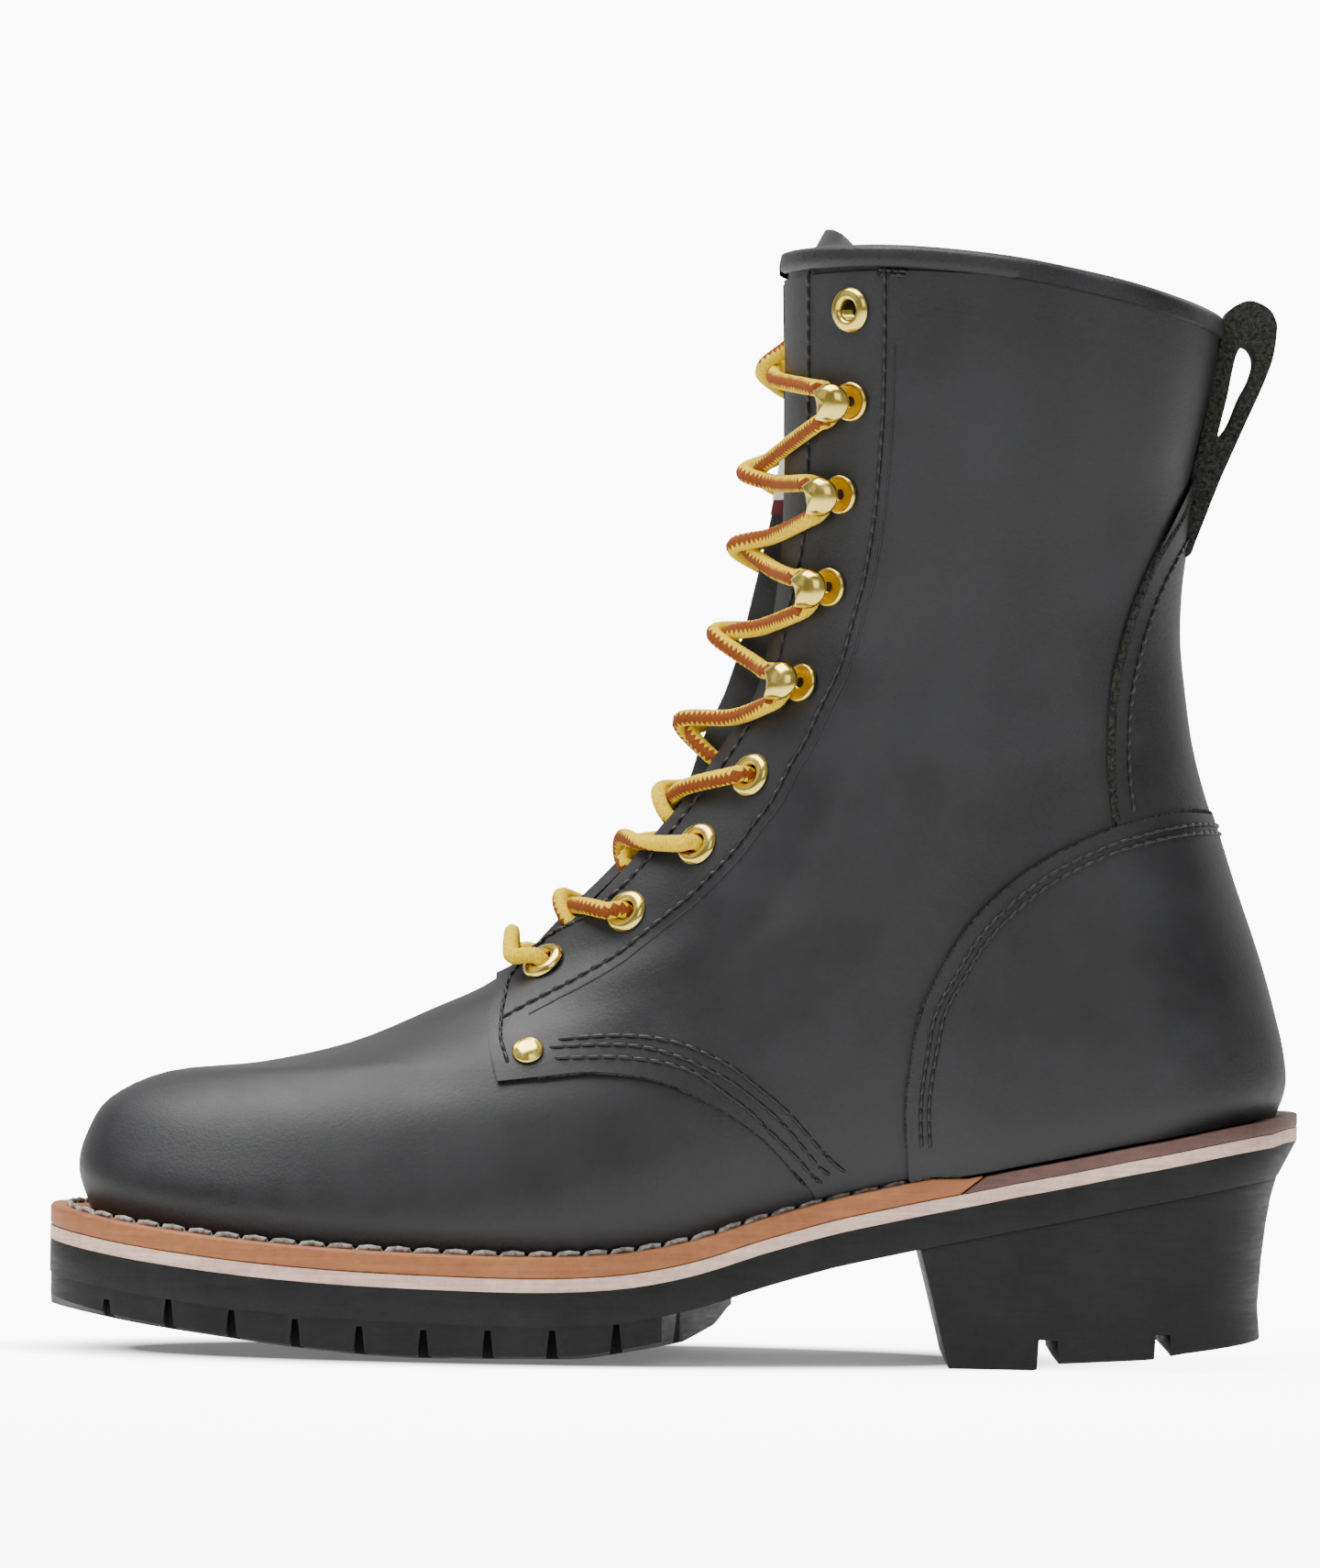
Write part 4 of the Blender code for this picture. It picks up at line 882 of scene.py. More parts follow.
def stations(start, end, count):
    """Places along x from start to end, closer together towards both ends."""
    return [start + (end - start) * (1 - math.cos(math.pi * i / count)) / 2 for i in range(count + 1)]


def lofted(name, loops):
    """A closed solid through closed loops of points, with its two ends capped."""
    count = len(loops[0])
    points = [tuple(Vector(point) * MM) for loop_points in loops for point in loop_points]
    faces = end_caps(len(loops), count) + quads(len(loops), count, closed=True)
    return remade(solid_of(name, points, faces), face_outwards_in_triangles)


def ring_strip(name, low_start, high_start, count, low_of, high_of, round_toe):
    """A strip along the sole's edge, between two slanted ends at the back or at the front of the heel."""
    inner = inset(SOLE, WELT_WIDTH)
    tip = 0.0 if round_toe else 1.0
    levels = ((low_start, low_of, (SOLE, inner)), (high_start, high_of, (inner, SOLE)))
    loops = []
    for i in range(-count, count + 1):
        side = -1 if i < 0 else 1
        corners = []
        for start, height, outlines in levels:
            share = tip + (share_at(SOLE, start) - tip) * abs(i) / count
            for outline in outlines:
                x, y = plan_point(outline, side, share)
                corners.append((x, y, height(x)))
        loops.append(corners)
    return lofted(name, loops)


# The welt: a strip of oiled tan leather round the forefoot and waist, its edge cut and left open.
# The upper stands on it, and it is sewn through to the midsole.
def cut_edge_leather(name, dark, light, streak, roughness):
    """Leather seen on its cut edge: layered streaks along the sole, with scuffs and darker spots."""
    made, shader, place = new_finish(name, dark, roughness)
    layers = noise(stretched(place, 30.0, 30.0, 900.0), 1.0, 5.0, 0.7)
    fibres = noise(place, 420.0, 4.0, 0.7)
    patches = noise(place, 38.0, 4.0, 0.6)
    stained = layers * streak + fibres * 0.35 + patches * 0.35
    feed(shader, "Base Color", tint(ramp(stained, 0.35, 0.78), dark, light))
    feed(shader, "Roughness", ramp(fibres, 0.3, 0.7, roughness - 0.08, roughness + 0.08))
    bumped(shader, layers * 0.6 + fibres * 0.8, 0.5, 0.35)
    return made


TAN = cut_edge_leather("tan_welt_leather", (0.20, 0.060, 0.016), (0.47, 0.180, 0.060), 0.4, 0.62)
SPLICE_FOOT, SPLICE_TOP = 70.5, 76.5
STRIP_SEAT = 0.05


def strip_foot(x):
    return height_along(SEATS, x) + STRIP_SEAT


welt = ring_strip("welt_strip", SPLICE_FOOT, SPLICE_TOP, 90, strip_foot, welt_top, True)
eased(welt, 0.9, 3, 50)
settle(welt)
finished(welt, TAN)
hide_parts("welt")

# The rand: a thinner strip of dark leather that takes the welt's place round the heel.
# It meets the welt in a slanted splice on each side.
DARK = cut_edge_leather("dark_rand_leather", (0.05, 0.024, 0.018), (0.17, 0.085, 0.065), 0.4, 0.6)


def rand_top(x):
    return strip_foot(x) + RAND_THICK


rand = ring_strip("rand_strip", SPLICE_FOOT + GAP, SPLICE_TOP + GAP, 50, strip_foot, rand_top, False)
eased(rand, 0.5, 2, 50)
settle(rand)
finished(rand, DARK)
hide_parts("heel_rand")


# The midsole: pale leather seen on its raw edge, in one thickness over the whole length.
# It lies between the welt and the rubber and follows the seat line of the last.
PALE = cut_edge_leather("pale_midsole_leather", (0.38, 0.21, 0.14), (0.93, 0.68, 0.56), 0.5, 0.8)


def layer(name, outline, top, bottom, steps=90, across=1, foot=None, end=None):
    """A sole layer between a top and a bottom height."""
    foot = foot or outline
    shrink = (foot.back_x - foot.front_x) / (outline.back_x - outline.front_x)
    loops = []
    for x in stations(outline.front_x + TIP_CUT, (outline.back_x if end is None else end) - TIP_CUT, steps):
        low_x = foot.front_x + (x - outline.front_x) * shrink
        high = [plan_half(outline, side, x) for side in (-1, 1)]
        low = [plan_half(foot, side, low_x) for side in (-1, 1)]
        shares = [i / across for i in range(across + 1)]
        points = [(x, high[0] + (high[1] - high[0]) * t, top(x)) for t in shares]
        points += [(low_x, low[0] + (low[1] - low[0]) * t, bottom(low_x, 2 * t - 1)) for t in shares[::-1]]
        loops.append(points)
    return lofted(name, loops)


def midsole_top(x):
    return height_along(SEATS, x)


def midsole_bottom(x, share):
    return midsole_top(x) - MIDSOLE_THICK


midsole = layer("midsole_layer", SOLE, midsole_top, midsole_bottom)
eased(midsole, 0.25, 2, 50)
settle(midsole)
finished(midsole, PALE)
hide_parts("midsole")


# The insole board that the foot stands on, brown and speckled.
# It lies on the welt and rand, inside the foot of the upper.
board, shader, place = new_finish("insole_board", (0.16, 0.11, 0.075), 0.9)
speckles = ramp(noise(place, 300.0), 0.35, 0.65)
feed(shader, "Base Color", tint(speckles, (0.12, 0.08, 0.05), (0.24, 0.17, 0.12)))
insole_outline = inset(ROWS[0], LINING_WALL + 0.2)


def insole_bottom(x, share=0.0):
    return welt_top(x) + GAP


def insole_top(x):
    return insole_bottom(x) + INSOLE_THICK


insole = layer("insole_leaf", insole_outline, insole_top, insole_bottom, 60)
eased(insole, 0.8)
settle(insole)
finished(insole, board)
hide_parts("insole")


# The outsole: a black rubber slab with a deeper pad moulded under the forefoot.
# Notches from both edges and bars across the middle cut the pad into lugs.
def black_rubber(name):
    """Matt rubber with faint drag marks along the sole and a fine grit."""
    made, shader, place = new_finish(name, (0.013, 0.013, 0.014), 0.6, shine=0.26)
    cloudy = noise(place, 60.0, 5.0, 0.65)
    drag = noise(stretched(place, 60.0, 60.0, 700.0), 1.0, 4.0, 0.7)
    grit = noise(place, 1100.0, 3.0, 0.7)
    worn = ramp(cloudy * 0.5 + drag * 0.5, 0.4, 0.68)
    feed(shader, "Base Color", tint(worn, (0.006, 0.006, 0.0065), (0.016, 0.016, 0.0175)))
    feed(shader, "Roughness", ramp(drag, 0.3, 0.7, 0.48, 0.68))
    bumped(shader, grit * 0.6 + drag * 0.7, 0.35, 0.3)
    return made


RUBBER = black_rubber("black_rubber")


def slab_top(x):
    return height_along(SEATS, x) - MIDSOLE_THICK - GAP


def slab_bottom(x, share=0.0):
    return slab_top(x) - SLAB_THICK


def pad_bottom(x, share):
    """Tread of the forefoot: level across the middle and rising to both edges."""
    return max(height_along(TREADS, x), 0.0) + CROWN_RISE * smooth_step((abs(share) - 0.4) / 0.6)


def wedge(bm, x, y0, y1, bottom, top, top_width, bottom_width):
    """A tapered bar across the boot, wider at its foot."""
    for vert in bmesh.ops.create_cube(bm, size=1.0)["verts"]:
        width = bottom_width if vert.co.z < 0 else top_width
        y = y0 if vert.co.y < 0 else y1
        z = bottom if vert.co.z < 0 else top
        vert.co = Vector((x + math.copysign(width / 2, vert.co.x), y, z)) * MM


def bars(name, wedges, skew=0.0):
    """A cutter of several wedges."""
    bm = bmesh.new()
    for sizes in wedges:
        wedge(bm, *sizes)
    for vert in bm.verts:
        vert.co.x += skew * vert.co.y
    face_outwards(bm)
    mesh = bpy.data.meshes.new(name)
    bm.to_mesh(mesh)
    bm.free()
    return shown(name, mesh)


def pad_top(x):
    """The pad reaches up to the middle of the slab, into which it is moulded."""
    return slab_top(x) - SLAB_THICK / 2


slab = layer("outsole_slab", SOLE, lambda x: slab_top(x) + SLAB_SEAT, slab_bottom, foot=SLAB_FOOT)
pad_outline = inset(SOLE, PAD_INSET)
pad = layer("pad", pad_outline, pad_top, pad_bottom, 70, 14, end=PAD_ENDS_AT + 15)
pad_end = bars("pad_end", [(30 + PAD_ENDS_AT, -110, 110, -30, 55, 60, 60)], PAD_END_SKEW)
carved(pad, pad_end)
settle(pad)
notches = []
for side in (-1, 1):
    for i in range(NOTCH_COUNT + 1):
        x = NOTCH_FIRST + NOTCH_PITCH * i + (NOTCH_OUTER_STEP if side > 0 else 0.0)
        depth = NOTCH_DEPTH if i else NOTCH_DEPTH / 2
        y = plan_half(pad_outline, side, x)
        floor = pad_bottom(x, 1.0)
        y0, y1 = sorted((y - side * NOTCH_REACH_IN, y + side * NOTCH_REACH_OUT))
        notches.append((x, y0, y1, floor - CUT_BELOW, floor + depth, NOTCH_TOP, NOTCH_FOOT))
middle_outline = inset(SOLE, PAD_INSET + NOTCH_REACH_IN, front=BAR_FRONT)
for i in range(BAR_COUNT):
    x = NOTCH_FIRST + NOTCH_PITCH * (2 * i + 1.5)
    floor = height_along(TREADS, x)
    y0 = plan_half(middle_outline, -1, x) + BAR_LAND
    y1 = plan_half(middle_outline, 1, x) - BAR_LAND
    notches.append((x, y0, y1, floor - CUT_BELOW, floor + BAR_DEPTH, BAR_TOP, NOTCH_FOOT))
notch_bars = bars("notch_bars", notches)
carved(pad, notch_bars)
carved(slab, notch_bars)
eased(pad, 0.4, 2, 50)
eased(slab, 0.35, 2, 50)
settle(pad)
settle(slab)
drop(pad_end, notch_bars)
outsole = merged("outsole_rubber", [slab, pad])
finished(outsole, RUBBER)
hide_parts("outsole")


# The heel block: moulded rubber, slanted at the breast, hollowed at the back and notched across its tread.
# It is fixed under the rear of the outsole and stands on the flat front part of its foot.
HEEL_BREAST_TOP, HEEL_BREAST_FOOT = 61.0, 68.4
HEEL_INSET, HEEL_DRAWN_IN, HEEL_DRAWN_ON = 0.2, 1.8, 6.0
HEEL_LEVELS, HEEL_SIDE_STEPS, HEEL_BACK_STEPS = 24, 16, 24
HEEL_NOTCH_FLARE = 1.6
HEEL_FLAT_ENDS = 89.6
HEEL_FOOT = [Seat(60, 0.0), Seat(89.6, 0.0), Seat(95, 1.7), Seat(118, 3.1), Seat(123, 4.3), Seat(150, 7.4)]
HEEL_NOTCHES = [(92.8, 7.5, 4.6), (121.1, 9.3, 3.6)]
HEEL_BACK = [(0.0, 151.1), (0.12, 149.6), (0.27, 148.5), (0.5, 147.4), (0.8, 146.6), (1.0, 147.3)]


def height_line(points, x):
    """Height at x on the straight lines between stations."""
    return float(np.interp(x, [point[0] for point in points], [point[1] for point in points]))


rings = []
for level in range(HEEL_LEVELS + 1):
    drop_share = level / HEEL_LEVELS
    back = height_line(HEEL_BACK, drop_share)
    outline = inset(SLAB_FOOT, HEEL_DRAWN_IN * drop_share + HEEL_INSET)
    outline = outline._replace(back_x=back, rear_at=SOLE.rear_at - HEEL_DRAWN_ON * drop_share)
    breast = HEEL_BREAST_TOP + (HEEL_BREAST_FOOT - HEEL_BREAST_TOP) * drop_share
    ring = []
    for side in (-1, 1):
        half = []
        for i in range(HEEL_SIDE_STEPS):
            x = breast + (outline.rear_at - breast) * i / HEEL_SIDE_STEPS
            half.append((x, plan_half(outline, side, x)))
        for i in range(HEEL_BACK_STEPS):
            half.append(plan_point(outline, side, REAR_START + (1 - REAR_START) * i / HEEL_BACK_STEPS))
        if side < 0:
            half.append(plan_point(outline, side, 1.0))
        ring += half if side < 0 else half[::-1]
    points = []
    for x, y in ring:
        high = slab_bottom(x) - 0.1
        foot = 0.0 if x <= HEEL_FLAT_ENDS else height_line(HEEL_FOOT, x)
        points.append((x, y, high + (foot - high) * drop_share))
    rings.append(points)
heel = lofted("heel_rubber", rings)
cuts = [(x, -60, 60, -8, top, width, width + HEEL_NOTCH_FLARE) for x, top, width in HEEL_NOTCHES]
heel_bars = bars("heel_bars", cuts)
carved(heel, heel_bars)
eased(heel, 0.5, 2, 45)
settle(heel)
drop(heel_bars)
finished(heel, RUBBER)
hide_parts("heel")


# Eyelets, hooks and rivets: pressed brass, polished, a little worn. An eyelet is a turned ring set through
# quarter and lining. A hook has a base disc, a neck and a domed cap, hollowed towards the throat.
brass, shader, place = new_finish("polished_brass", (0.86, 0.66, 0.15), 0.2, metallic=1.0)
wear = noise(place, 260.0, 4.0, 0.6)
feed(shader, "Base Color", tint(ramp(wear, 0.35, 0.7), (0.78, 0.57, 0.10), (0.93, 0.74, 0.20)))
feed(shader, "Roughness", ramp(wear, 0.3, 0.75, 0.12, 0.3))


def arc(centre, radius, start, end, count):
    """Points (radius, height) of an arc of a profile, angles in degrees."""
    angles = [math.radians(start + (end - start) * i / count) for i in range(count + 1)]
    return [(centre[0] + radius * math.cos(a), centre[1] + radius * math.sin(a)) for a in angles]


EYELET_FLANGE = 5.6
EYELET_FOOT = -3.9
EYELET_LIP = 1.1
eyelet_profile = [(EYELET_BORE, EYELET_FOOT), (EYELET_BORE, 0.2)]
eyelet_profile += arc((EYELET_BORE + EYELET_LIP, 0.35), EYELET_LIP, 180, 90, 6)
eyelet_profile += [(EYELET_FLANGE - 1.0, 1.25), (EYELET_FLANGE - 0.35, 0.85), (EYELET_FLANGE, 0.15)]
eyelet_profile += [(EYELET_FLANGE - 0.2, -0.05), (EYELET_BARREL - 0.05, -0.05)]
eyelet_profile += [(EYELET_BARREL - 0.05, EYELET_FOOT)]
for stem, side in SIDES:
    for number, eyelet in enumerate(EYELETS, 1):
        made = turned(f"eyelet_ring_{stem}_{number}", eyelet_profile, seat_frame(eyelet, side), 48)
        settle(made, 50)
        finished(made, brass)
        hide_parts(f"eyelet_{stem}_{number}")

rivet_profile = [
    (3.9, -0.1), (3.95, 0.35), (3.7, 0.75), (3.3, 0.85), (2.7, 1.15), (1.8, 1.4), (0.9, 1.52), (0.0, 1.56),
]
for stem, side in SIDES:
    made = turned(f"rivet_head_{stem}", rivet_profile, seat_frame(RIVET, side), 40, closed=False)
    settle(made, 50)
    finished(made, brass)
    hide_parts(f"rivet_{stem}")

HOOK_BASE = 4.9
base_profile = [(1.3, -0.1), (1.3, 0.5), (1.6, 0.75), (HOOK_BASE - 1.2, 0.7), (HOOK_BASE - 0.7, 1.0)]
base_profile += [(HOOK_BASE - 0.2, 0.85), (HOOK_BASE, 0.4), (HOOK_BASE, -0.1)]
CAP_HALF = 4.9
CAP_CORNER = (4.7, 4.0)
CAP_HOLLOW = 0.9
CAP_DROOP = 1.2
CAP_AT, NECK_AT = 2.6, 5.9
NECK_SCALE = (0.45, 1.6, 1.0, 1.0)
cap_profile = [
    (0.0, 4.8), (0.88, 4.6), (0.97, 4.7), (1.0, 5.1), (0.97, 5.7), (0.86, 6.5), (0.64, 7.2), (0.35, 7.6),
    (0.0, 7.75),
]
neck_profile = [(2.3, -0.1), (2.2, 0.6), (1.4, 1.5), (1.15, 2.4), (1.15, 3.6), (1.5, 4.5), (2.2, 5.1)]


def cap_outline():
    """Plan of a hook's cap: round at the rear, with a hollow edge between two corners on the throat side."""
    corner_x, corner_y = CAP_CORNER
    points = []
    for i in range(25):
        angle = math.pi / 2 + math.pi * i / 24
        points.append((CAP_HALF * math.cos(angle), CAP_HALF * math.sin(angle)))
    for i in range(1, 8):
        points.append((corner_x * i / 8, -CAP_HALF + (CAP_HALF - corner_y) * (i / 8) ** 2))
    for i in range(13):
        y = corner_y * (i / 6 - 1)
        points.append((corner_x - CAP_HOLLOW * (1 - (y / corner_y) ** 2), y))
    for i in range(7, 0, -1):
        points.append((corner_x * i / 8, CAP_HALF - (CAP_HALF - corner_y) * (i / 8) ** 2))
    return points


def domed_cap(frame_matrix):
    """A hook's cap: the outline drawn in to a crown above and a hollow below, and bent down at the rear."""
    outline = cap_outline()
    points = []
    for scale, height in cap_profile:
        for x, y in outline:
            rear = max(-x / CAP_HALF, 0.0) * scale
            spot = Vector((x * scale, y * scale, height - CAP_DROOP * rear**2)) * MM
            points.append(tuple(frame_matrix @ spot))
    return solid_of("cap", points, quads(len(cap_profile), len(outline), closed=True))


for stem, side in SIDES:
    for number, hook in enumerate(HOOKS, 1):
        seat = seat_frame(hook, side)
        neck_seat = seat @ Matrix.Translation(Vector((NECK_AT, 0.0, 0.0)) * MM) @ Matrix.Diagonal(NECK_SCALE)
        parts = [
            turned("base", base_profile, seat, 40),
            domed_cap(seat @ Matrix.Translation(Vector((CAP_AT, 0.0, 0.0)) * MM)),
            turned("neck", neck_profile, neck_seat, 24, closed=False),
        ]
        made = merged(f"lace_hook_{stem}_{number}", parts)
        settle(made, 50)
        finished(made, brass)
        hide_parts(f"hook_{stem}_{number}")


# The lace: round braid, yellow on one side and copper brown on the other, with a sawtooth where they meet.
# It runs from the lowest eyelets over the tongue to the highest hooks. Both ends go down behind the facings.
LACE_RADIUS = 2.2
Crossing = namedtuple("Crossing", "row lift")
CROSSINGS = [
    Crossing(9.10, 1.3), Crossing(10.10, 0.9), Crossing(10.88, 2.2), Crossing(11.99, 9.0),
    Crossing(13.75, 11.2), Crossing(14.83, 9.4), Crossing(15.48, 7.8), Crossing(16.23, 3.2),
]
STRAND_IN_THROAT = 5.8
STRAND_ON_RIM = 10.5
STRAND_CLEAR = 0.35
LACE_STEP = 0.55
LACE_SIDES = 20
BRAID_PITCH = 2.6
LEG_AXIS_AT = 75.0
LACE_FACES_UP = 8.0
LACE_TURNS_BACK = 0.12


def in_throat(row, y):
    """Centre of a strand that lies on the tongue between the two facings."""
    on_tongue = tongue_bulge(row, y) - LINING_WALL - TONGUE_CLEAR
    return at_half(row, y, on_tongue + LACE_RADIUS + 2 * STRAND_CLEAR)


lace_paint, shader, place = new_finish("braided_lace", (0.75, 0.48, 0.04), 0.8, shine=0.2)
uv = lace_paint.node_tree.nodes.new("ShaderNodeTexCoord")
split = Value(lace_paint.node_tree, uv.outputs["UV"])
along = split.join("SeparateXYZ", {0: split}, out=0)
across_it = split.join("SeparateXYZ", {0: split}, out=1)
tooth = (along * 1.25).sum("PINGPONG", 0.5) * 0.2
side_of = across_it.sum("PINGPONG", 0.5) + tooth
brown_share = ramp(side_of, 0.158, 0.172, 1.0, 0.0)
weave = noise(split, 9.0, 2.0)
yellow = tint(ramp(weave, 0.35, 0.65), (0.60, 0.385, 0.0), (0.96, 0.68, 0.02))
brown = tint(ramp(weave, 0.35, 0.65), (0.155, 0.034, 0.004), (0.27, 0.066, 0.012))
mixed = yellow.join("Mix", {0: brown_share, 6: yellow, 7: brown}, out=2, data_type="RGBA")
feed(shader, "Base Color", mixed)
bumped(shader, noise(split, 30.0, 2.0), 0.3, 0.2)


def lengths_along(points):
    """Distance from the start of a line to each of its points."""
    lengths = [0.0]
    for a, b in zip(points, points[1:]):
        lengths.append(lengths[-1] + (b - a).length)
    return lengths


def read_at(wanted, lengths, vectors):
    """Points or directions at some distances along a line."""
    columns = np.array([tuple(vector) for vector in vectors]).T
    return [Vector([float(np.interp(w, lengths, column)) for column in columns]) for w in wanted]


def resampled(points, step):
    """Points at even steps along a smooth curve through a route, and its length."""
    columns = [[point[axis] for point in points] for axis in range(3)]
    count = (len(points) - 1) * 24
    fine = [Vector([curve_through(column, i / 24) for column in columns]) for i in range(count + 1)]
    lengths = lengths_along(fine)
    wanted = np.linspace(0.0, lengths[-1], max(int(lengths[-1] / step), 2) + 1)
    return read_at(wanted, lengths, fine), lengths[-1]


def braid(name, route, flat=0.9, wander=0.45):
    """A braided cord along a route, with the weave in its surface and one face kept outwards."""
    points, length = resampled(route, LACE_STEP)
    total = len(points)
    normal = None
    rings = []
    for i, point in enumerate(points):
        ahead = (points[min(i + 1, total - 1)] - points[max(i - 1, 0)]).normalized()
        outward = Vector((point.x - LEG_AXIS_AT, point.y, LACE_FACES_UP)).normalized()
        outward = outward - ahead * outward.dot(ahead)
        if normal is None:
            normal = outward.normalized()
        normal = normal - ahead * normal.dot(ahead)
        normal = (normal.normalized() + outward * LACE_TURNS_BACK).normalized()
        across = ahead.cross(normal)
        s = length * i / (total - 1)
        turn = wander * math.sin(s / 23.0) + wander * math.sin(s / 61.0)
        weave_turn = 2 * math.pi * s / BRAID_PITCH
        for k in range(LACE_SIDES):
            angle = 2 * math.pi * k / LACE_SIDES
            wave = math.sin(weave_turn + 3 * angle) * math.sin(weave_turn - 3 * angle)
            radius = LACE_RADIUS * (0.96 + 0.07 * wave)
            spot = point + (normal * math.cos(angle + turn) * flat + across * math.sin(angle + turn)) * radius
            rings.append(tuple(spot * MM))
    mesh = bpy.data.meshes.new(name)
    mesh.from_pydata(rings, [], quads(total, LACE_SIDES, closed=True) + end_caps(total, LACE_SIDES))
    layer_uv = mesh.uv_layers.new(name="weave")
    for face in mesh.polygons:
        furthest = max(vertex % LACE_SIDES for vertex in face.vertices)
        closes_round = len(face.vertices) == 4 and furthest == LACE_SIDES - 1
        for loop_index in face.loop_indices:
            i, k = divmod(mesh.loops[loop_index].vertex_index, LACE_SIDES)
            v = 1.0 if closes_round and k == 0 else k / LACE_SIDES
            layer_uv.data[loop_index].uv = (length * i / (total - 1) / 2.0, v)
    return settle(shown(name, mesh), 60)


def on_rim(crossing, anchor, side):
    """Point of a strand over a facing's edge, between the middle of the throat and a fastener."""
    row, place = find_on_skin(anchor.x, anchor.z, side)
    mark = crossing.row + (row - crossing.row) * STRAND_ON_RIM / abs(skin(row, place).y)
    return at_half(mark, side * STRAND_ON_RIM, QUARTER_RISE + LACE_RADIUS + STRAND_CLEAR)


def through_eyelet(eyelet, side):
    """From over the leather, down through an eyelet and back under the facing."""
    frame_matrix = seat_frame(eyelet, side)
    spots = [(3.4, 0.6, 3.5), (0.9, 0.1, 2.2), (0.2, 0.0, -1.0), (0.6, 0.3, -4.6), (4.4, 1.4, -6.3)]
    return [frame_matrix @ (Vector(spot) * MM) / MM for spot in spots]


def round_hook(hook, side):
    """Up under the cap of a hook, behind its neck."""
    frame_matrix = seat_frame(hook, side)
    spots = [(8.9, -4.6, 3.5), (6.0, -3.9, 2.9), (3.9, -2.3, 2.6), (3.3, 0.0, 2.6)]
    spots += [(3.9, 2.3, 2.6), (6.0, 3.9, 2.9), (8.9, 4.6, 3.5)]
    if (frame_matrix @ Vector((0, 1, 0)) - frame_matrix.translation).z < 0:
        spots = [(x, -y, z) for x, y, z in spots]
    return [frame_matrix @ (Vector(spot) * MM) / MM for spot in spots]


anchors = EYELETS[:4] + HOOKS
LACE_MIDDLE = (-41.8, 0.01, 105.6)
both_ends = []
for start_side in (-1, 1):
    side = start_side
    route = [Vector(LACE_MIDDLE)]
    route.append(seat_frame(EYELETS[0], side) @ (Vector((6.6, 0.6, 4.6)) * MM) / MM)
    route += through_eyelet(EYELETS[0], side)
    for number, crossing in enumerate(CROSSINGS, 1):
        low = anchors[number - 1]
        row = find_on_skin(low.x, low.z, side)[0]
        if number <= 4:
            mark = row + 0.75 * (crossing.row - row)
            route.append(at_half(mark - 0.1, side * 10.2, -LINING_WALL - LACE_RADIUS - 0.5))
            route.append(in_throat(mark, side * STRAND_IN_THROAT))
        else:
            route.append(on_rim(crossing, low, side))
        over_other = 1.0 if start_side < 0 else -1.0
        step = skin_normal(crossing.row, 0.002) * (over_other * LACE_RADIUS * 0.85)
        route.append(skin(crossing.row, 0.0, crossing.lift + 0.6) + step)
        side = -side
        if number == len(CROSSINGS):
            route.append(in_throat(crossing.row + 0.15, side * STRAND_IN_THROAT))
            route.append(at_half(crossing.row + 0.3, side * 16.0, -LINING_WALL - LACE_RADIUS))
            break
        high = anchors[number]
        route.append(on_rim(crossing, high, side))
        route += through_eyelet(high, side) if number < 4 else round_hook(high, side)
    both_ends.append(route)
whole = both_ends[0][::-1] + both_ends[1][1:]
lace = braid("lace_braid", whole)
finished(lace, lace_paint)
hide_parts("lace_bar", *[f"lace_cross_{number}" for number in range(1, 9)])
lace_length = resampled(whole, 1.0)[1]


# Stitching: waxed black thread, each stitch a short bar that dips into the leather at both ends.
# A table is the line of one seam as it is seen from the inner side, and the outer side repeats it.
thread, shader, place = new_finish("waxed_black_thread", (0.004, 0.004, 0.0045), 0.45)
bumped(shader, noise(place, 2600.0, 2.0), 0.4, 0.15)
FACING_EDGE = [
    (-41.9, 74.3), (-43.7, 85.0), (-42.8, 91.4), (-39.2, 98.3), (-33.3, 104.4), (-25.6, 108.9),
    (-21.0, 111.8), (-15.1, 116.9), (-9.9, 122.3), (-2.1, 131.8), (4.2, 140.1), (11.6, 150.1),
    (17.8, 160.0), (23.3, 172.4), (26.4, 188.4), (29.3, 203.4), (30.2, 215.6), (30.2, 230.8), (29.9, 251.9),
    (29.5, 271.0),
]
FACING_BACK = [
    (-43.9, 84.7), (-38.1, 88.0), (-31.1, 91.8), (-25.2, 95.0), (-16.2, 100.4), (-9.7, 105.6),
    (-3.4, 110.9), (3.1, 116.5), (12.3, 126.2), (18.1, 134.0), (22.7, 140.4), (27.1, 149.1), (30.0, 153.9),
    (34.1, 163.1), (37.6, 170.4), (39.3, 175.1), (41.0, 181.7), (42.9, 189.6), (44.1, 194.3), (45.7, 204.0),
    (46.9, 214.9), (47.8, 228.3), (48.2, 238.0), (48.2, 252.3), (47.9, 270.9),
]
QUARTER_A = [
    (-30.0, 75.4), (-15.0, 75.9), (-3.3, 74.7), (6.5, 71.3), (15.7, 64.8), (24.2, 57.2), (30.9, 50.6),
    (36.2, 45.4),
]
QUARTER_B = [
    (-31.4, 78.0), (-16.9, 78.9), (-6.0, 78.0), (3.7, 75.0), (13.5, 70.2), (22.9, 63.1), (30.8, 55.0),
    (38.2, 47.5),
]
QUARTER_C = [
    (-29.2, 80.0), (-13.6, 81.2), (-0.2, 79.7), (7.8, 76.7), (15.8, 72.3), (25.4, 64.7), (33.9, 55.9),
    (42.0, 48.3),
]
COUNTER_1 = [
    (133.9, 134.4), (124.9, 134.7), (113.8, 132.3), (103.0, 128.4), (87.7, 119.9), (75.0, 107.9),
    (66.6, 94.1), (62.3, 81.0), (60.4, 66.2), (60.8, 55.1),
]
